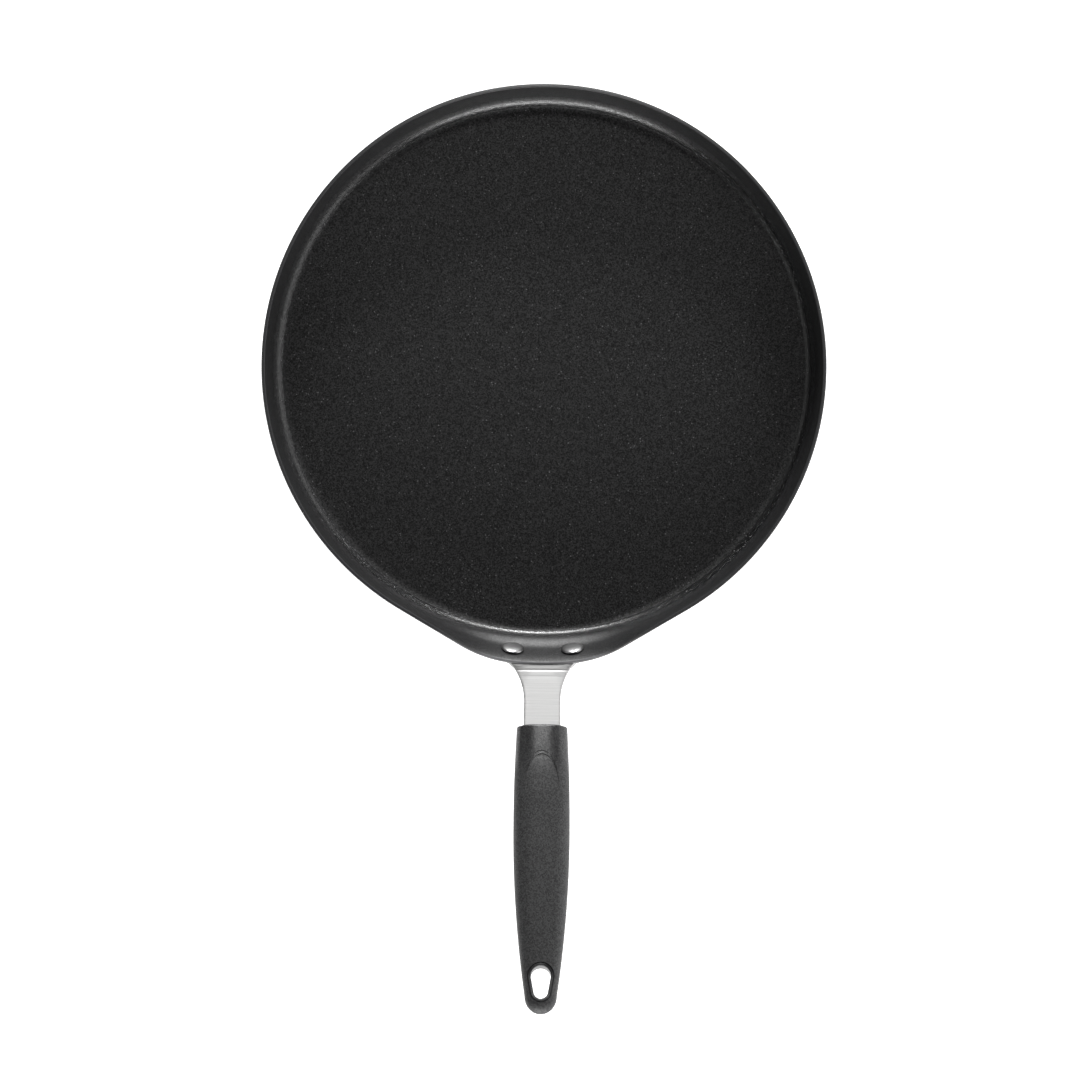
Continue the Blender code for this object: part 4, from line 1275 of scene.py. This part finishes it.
def grip_ring(grip, distance, inset, shrink, sides):
    """Section of the grip: a squared oval, fuller below than above."""
    half_width, height, depth = (size - shrink for size in grip_sizes(grip, distance, inset))
    power = 2 / grip.squareness
    ring = []
    for k in range(sides):
        turn = math.tau * k / sides
        across, up = math.cos(turn), math.sin(turn)
        x = half_width * math.copysign(abs(across) ** power, across)
        z = (height if up > 0 else depth) * math.copysign(abs(up) ** power, up)
        ring.append((x, distance, z))
    return ring


def grip_mesh(grip, name, inset, front, edge, sides, stations):
    """Solid grip form drawn in by inset, from its front face to its round tip."""
    end = grip.length - inset
    tip_at = grip.length - grip.tip_round
    rings = []
    for k in range(GRIP_EDGE_STEPS if edge else 0):
        turn = math.pi / 2 * k / GRIP_EDGE_STEPS
        inward = edge * (1 - math.sin(turn))
        rings.append(grip_ring(grip, front + edge * (1 - math.cos(turn)), inset, inward, sides))
    for k in range(stations):
        rings.append(grip_ring(grip, mix(front + edge, tip_at, k / stations), inset, 0, sides))
    for k in range(GRIP_TIP_STEPS):
        turn = math.pi / 2 * k / GRIP_TIP_STEPS
        rings.append(grip_ring(grip, mix(tip_at, end, math.sin(turn)), inset, 0, sides))
    return loft_mesh(name, rings, None, (0, end, 0))


def skin_height(grip, x, distance, above):
    """Height of the sleeve's skin over a point, above or below the grip's axis."""
    half_width, height, depth = grip_sizes(grip, distance, 0.0)
    crown = max(1 - min(abs(x) / half_width, 1.0) ** grip.squareness, 0.0) ** (1 / grip.squareness)
    return height * crown if above else -depth * crown


def teardrop(grip, offset):
    """(across, along) points round the hang hole's outline, grown by offset."""
    wide = grip.hole_wide + offset
    narrow = grip.hole_narrow + offset
    tangent = math.acos((wide - narrow) / grip.hole_span)
    points = []
    for middle, radius, start, end in (
        (hole_at(grip), wide, tangent, math.tau - tangent),
        (hole_at(grip) + grip.hole_span, narrow, -tangent, tangent),
    ):
        for k in range(HOLE_ARC_STEPS + 1):
            turn = mix(start, end, k / HOLE_ARC_STEPS)
            points.append((radius * math.sin(turn), middle + radius * math.cos(turn)))
    return points


def past_grip(grip):
    """A reach that ends outside the grip, for cutters."""
    return 2 * max(grip.belly)


def teardrop_mesh(grip, name, offset):
    """Prism of the hang hole's outline, right through the grip."""
    reach = past_grip(grip)
    outline = teardrop(grip, offset)
    return loft_mesh(name, [[(x, y, z) for x, y in outline] for z in (-reach, reach)])


def eyelet_profile(grip):
    """(offset from the hole's wall, drop below the top face) over the rim's rounded top."""
    edge = grip.eyelet_edge
    quarter = [math.pi / 2 * k / ROUNDING_STEPS for k in range(ROUNDING_STEPS + 1)]
    inner = [(edge - edge * math.cos(turn), edge - edge * math.sin(turn)) for turn in quarter]
    return inner + [(grip.eyelet_rim - offset, drop) for offset, drop in reversed(inner)]


def eyelet_mesh(grip):
    """Hard rim round the hang hole, sunk in the sleeve towards the pan and flush at the tip."""
    profile = eyelet_profile(grip)
    outlines = [teardrop(grip, offset) for offset, _ in profile]
    start = hole_at(grip) - grip.hole_wide
    end = hole_at(grip) + grip.hole_span + grip.hole_narrow
    rings = []
    for k in range(len(outlines[0])):
        x_mid, y_mid = outlines[len(outlines) // 2][k]
        toward_tip = min(max((y_mid - start) / (end - start), 0.0), 1.0)
        sunk = mix(grip.eyelet_sunk, grip.eyelet_flush, toward_tip)
        top = skin_height(grip, x_mid, y_mid, True) - sunk
        bottom = skin_height(grip, x_mid, y_mid, False) + sunk
        over = [(*outline[k], top - drop) for outline, (_, drop) in zip(outlines, profile)]
        under = [(*outline[k], bottom + drop) for outline, (_, drop) in zip(outlines, profile)]
        rings.append(over + under[::-1])
    return loft_mesh("eyelet", rings, closed=True)


def scoop_mesh(grip, name, back, depth):
    """Thumb scoop cutter: round nose towards the pan, hollow floor that rises out of the grip."""
    front = grip.scoop_at + back
    nose = grip.scoop_at + grip.scoop_nose
    rear = grip.scoop_at + grip.scoop_length
    rows = []
    for k in range(1, SCOOP_NOSE_STEPS + 1):
        turn = math.pi / 2 * k / SCOOP_NOSE_STEPS
        rows.append((mix(nose, front, math.cos(turn)), grip.scoop_half_width * math.sin(turn)))
    for k in range(1, SCOOP_NOSE_STEPS + 1):
        rows.append((mix(nose, rear, k / SCOOP_NOSE_STEPS), grip.scoop_half_width))
    rings = []
    for along, half_width in rows:
        share = (along - front) / (rear - front)
        depth_here = depth * (1 - share) ** SCOOP_POWER - grip.scoop_runout * share
        ring = []
        for k in range(SCOOP_COLUMNS + 1):
            x = half_width * (2 * k / SCOOP_COLUMNS - 1)
            hollow = 1 - grip.scoop_hollow * (x / half_width) ** 2
            ring.append((x, along, skin_height(grip, x, along, True) - depth_here * hollow))
        reach = past_grip(grip)
        ring += [(half_width, along, reach), (-half_width, along, reach)]
        rings.append(ring)
    return loft_mesh(name, rings)


def slot_mesh(bracket, grip):
    """Room for the tang inside the core."""
    half_thickness = bracket.thickness / 2 + bracket.fit
    shoulder = bracket.shoulder + bracket.shoulder_taper
    rows = (
        (-past_grip(grip), bracket.half_width),
        (bracket.shoulder + bracket.fit, bracket.half_width),
        (shoulder + bracket.fit, bracket.tang_half_width),
        (tang_length(bracket, grip) + bracket.fit, bracket.tang_half_width),
    )
    rings = []
    for along, half_width in rows:
        wide = half_width + bracket.fit
        corners = ((-wide, -1), (wide, -1), (wide, 1), (-wide, 1))
        rings.append([(x, along, side * half_thickness) for x, side in corners])
    return loft_mesh("tang_slot", rings)


class GRIDDLE_OT_core(bpy.types.Operator):
    """Mould the hard core with its posts and its eyelet"""

    bl_idname = "griddle.core"
    bl_label = "Core and eyelet"

    def execute(self, context):
        scene = context.scene
        pan, bracket, grip = scene.griddle_pan, scene.griddle_bracket, scene.griddle_grip
        block = grip_mesh(
            grip, "grip_core", grip.sleeve_wall, -grip.core_nose, grip.core_edge,
            HIDDEN_SIDES, HIDDEN_STATIONS,
        )
        piece = new_object("grip_core_piece", block)
        steps = [(slot_mesh(bracket, grip), "DIFFERENCE")]
        reach = bracket.thickness
        for along in lock_holes_at(bracket, grip):
            place = Matrix.Translation((0, along, 0))
            post = post_mesh("lock_post", bracket.lock_radius - bracket.fit, reach, place)
            steps.append((post, "UNION"))
        steps.append((teardrop_mesh(grip, "eyelet_seat", grip.eyelet_rim / 2), "DIFFERENCE"))
        steps.append((eyelet_mesh(grip), "UNION"))
        combine(piece, *steps)
        piece.data.transform(grip_place(pan, bracket))
        hard = scene.griddle_colours.hard
        grain = (HARD_GRAINS, HARD_DEPTH)
        finish = plastic_finish("hard black plastic", hard, HARD_ROUGHNESS, grain)
        finish_piece(piece, finish, HARD_SLOT, "grip_core")
        return {"FINISHED"}


class GRIDDLE_OT_sleeve(bpy.types.Operator):
    """Mould the soft sleeve with its thumb scoop"""

    bl_idname = "griddle.sleeve"
    bl_label = "Sleeve"

    def execute(self, context):
        scene = context.scene
        pan, bracket, grip = scene.griddle_pan, scene.griddle_bracket, scene.griddle_grip
        skin = grip_mesh(grip, "grip_sleeve", 0, 0, grip.edge, GRIP_SIDES, GRIP_STATIONS)
        room = grip_mesh(
            grip, "core_room", grip.sleeve_wall - grip.seam, -grip.core_nose, 0,
            HIDDEN_SIDES, HIDDEN_STATIONS,
        )
        window = teardrop_mesh(grip, "eyelet_window", grip.eyelet_rim + grip.seam)
        ledge = scoop_mesh(grip, "scoop_ledge", 0, grip.scoop_step)
        scoop = scoop_mesh(grip, "scoop", grip.scoop_ledge, grip.scoop_depth)
        piece = new_object("grip_sleeve_piece", skin)
        combine(piece, *((mesh, "DIFFERENCE") for mesh in (room, window, ledge, scoop)))
        piece.data.transform(grip_place(pan, bracket))
        front = grip_front(pan, bracket)[0]
        # Handled smooth in front of the scoop, and less and less over the scoop's start
        worn_and_sheened = (WORN_SLEEVE_ROUGHNESS, front + grip.scoop_at * 0.9, front + grip.scoop_at * 2)
        soft = scene.griddle_colours.soft
        grain = (SLEEVE_GRAINS, SLEEVE_DEPTH)
        finish = plastic_finish("soft black sleeve", soft, SLEEVE_ROUGHNESS, grain, worn_and_sheened)
        finish_piece(piece, finish, SOFT_SLOT, "grip_sleeve")
        return {"FINISHED"}


# Stage


def add_light(name, heading, height, distance, width, depth, watts):
    """A soft rectangular light at a heading from +Y towards +X and a height above the table."""
    lamp = bpy.data.lights.new(name, "AREA")
    lamp.shape = "RECTANGLE"
    lamp.size = width
    lamp.size_y = depth
    lamp.energy = watts
    item = new_object(name, lamp)
    level = distance * math.cos(height)
    away = Vector((level * math.sin(heading), level * math.cos(heading), distance * math.sin(height)))
    item.location = LIGHT_TARGET + away
    item.rotation_euler = (-away).to_track_quat("-Z", "Y").to_euler()


def add_camera(studio, pan):
    """Looks straight down, so that the rim shows where and as large as it does in the picture."""
    scale = pan.rim_radius / studio.rim_pixels
    lens = bpy.data.cameras.new("camera")
    lens.sensor_width = SENSOR
    lens.lens = SENSOR * (studio.camera_height - pan.rim_height) / (scale * studio.picture)
    camera = new_object("camera", lens)
    right = (studio.middle_right - studio.picture / 2) * scale
    up = (studio.picture / 2 - studio.middle_down) * scale
    across = Vector((math.cos(studio.roll), math.sin(studio.roll), 0))
    upward = Vector((-math.sin(studio.roll), math.cos(studio.roll), 0))
    camera.location = -right * across - up * upward + Vector((0, 0, studio.camera_height))
    camera.rotation_euler = (0, 0, studio.roll)
    bpy.context.scene.camera = camera


def table_finish(colours, glow):
    """Pale matte table top, lit from inside like a light table."""
    material, tree, shader = new_finish("pale table")
    cloud = noise(tree, object_place(tree), 3, 2.0)
    feed(tree, shader.inputs["Base Color"], mottled(tree, cloud, colours.table, TABLE_SHADES))
    shader.inputs["Roughness"].default_value = TABLE_ROUGHNESS
    shader.inputs["Emission Color"].default_value = (1, 1, 1, 1)
    shader.inputs["Emission Strength"].default_value = glow
    return material


class GRIDDLE_OT_stage(bpy.types.Operator):
    """Set up the table, the soft lights and the camera"""

    bl_idname = "griddle.stage"
    bl_label = "Table, lights and camera"

    def execute(self, context):
        scene = context.scene
        studio = scene.griddle_studio
        mesh = bpy.data.meshes.new("table")
        corners = [(x * TABLE_HALF, y * TABLE_HALF, 0) for x, y in ((-1, -1), (1, -1), (1, 1), (-1, 1))]
        mesh.from_pydata(corners, [], [(0, 1, 2, 3)])
        mesh.materials.append(table_finish(scene.griddle_colours, studio.table_glow))
        table = new_object("table", mesh)
        for name, heading, height, distance, width, depth in LIGHTS:
            turns = math.radians(heading), math.radians(height)
            add_light(name, *turns, distance, width, depth, getattr(studio, name))
        world = bpy.data.worlds.new("studio")
        world.use_nodes = True
        world.node_tree.nodes["Background"].inputs["Strength"].default_value = studio.sky
        world.node_tree.nodes["Background"].inputs["Color"].default_value = (1, 1, 1, 1)
        scene.world = world
        scene.view_settings.view_transform = "Standard"
        add_camera(studio, scene.griddle_pan)
        return {"FINISHED"}


class GRIDDLE_PT_panel(bpy.types.Panel):
    """Lists the pieces of the griddle pan"""

    bl_idname = "GRIDDLE_PT_panel"
    bl_label = "Griddle pan"
    bl_space_type = "VIEW_3D"
    bl_region_type = "UI"
    bl_category = "Griddle pan"

    def draw(self, context):
        for operator in OPERATORS:
            self.layout.operator(operator.bl_idname)


GROUPS = {
    "griddle_pan": PanSizes,
    "griddle_rivets": RivetSizes,
    "griddle_bracket": BracketSizes,
    "griddle_grip": GripSizes,
    "griddle_colours": Colours,
    "griddle_studio": StudioSettings,
}
OPERATORS = (
    GRIDDLE_OT_pan,
    GRIDDLE_OT_rivets,
    GRIDDLE_OT_bracket,
    GRIDDLE_OT_core,
    GRIDDLE_OT_sleeve,
    GRIDDLE_OT_stage,
)


def register():
    for name, group in GROUPS.items():
        bpy.utils.register_class(group)
        setattr(bpy.types.Scene, name, PointerProperty(type=group))
    for item in (*OPERATORS, GRIDDLE_PT_panel):
        bpy.utils.register_class(item)


def unregister():
    for item in (GRIDDLE_PT_panel, *reversed(OPERATORS)):
        bpy.utils.unregister_class(item)
    for name, group in reversed(GROUPS.items()):
        delattr(bpy.types.Scene, name)
        bpy.utils.unregister_class(group)


def main():
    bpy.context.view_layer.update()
    register()
    bpy.ops.griddle.pan()
    bpy.ops.griddle.rivets()
    bpy.ops.griddle.bracket()
    bpy.ops.griddle.core()
    bpy.ops.griddle.sleeve()
    bpy.ops.griddle.stage()


if __name__ == "__main__":
    main()
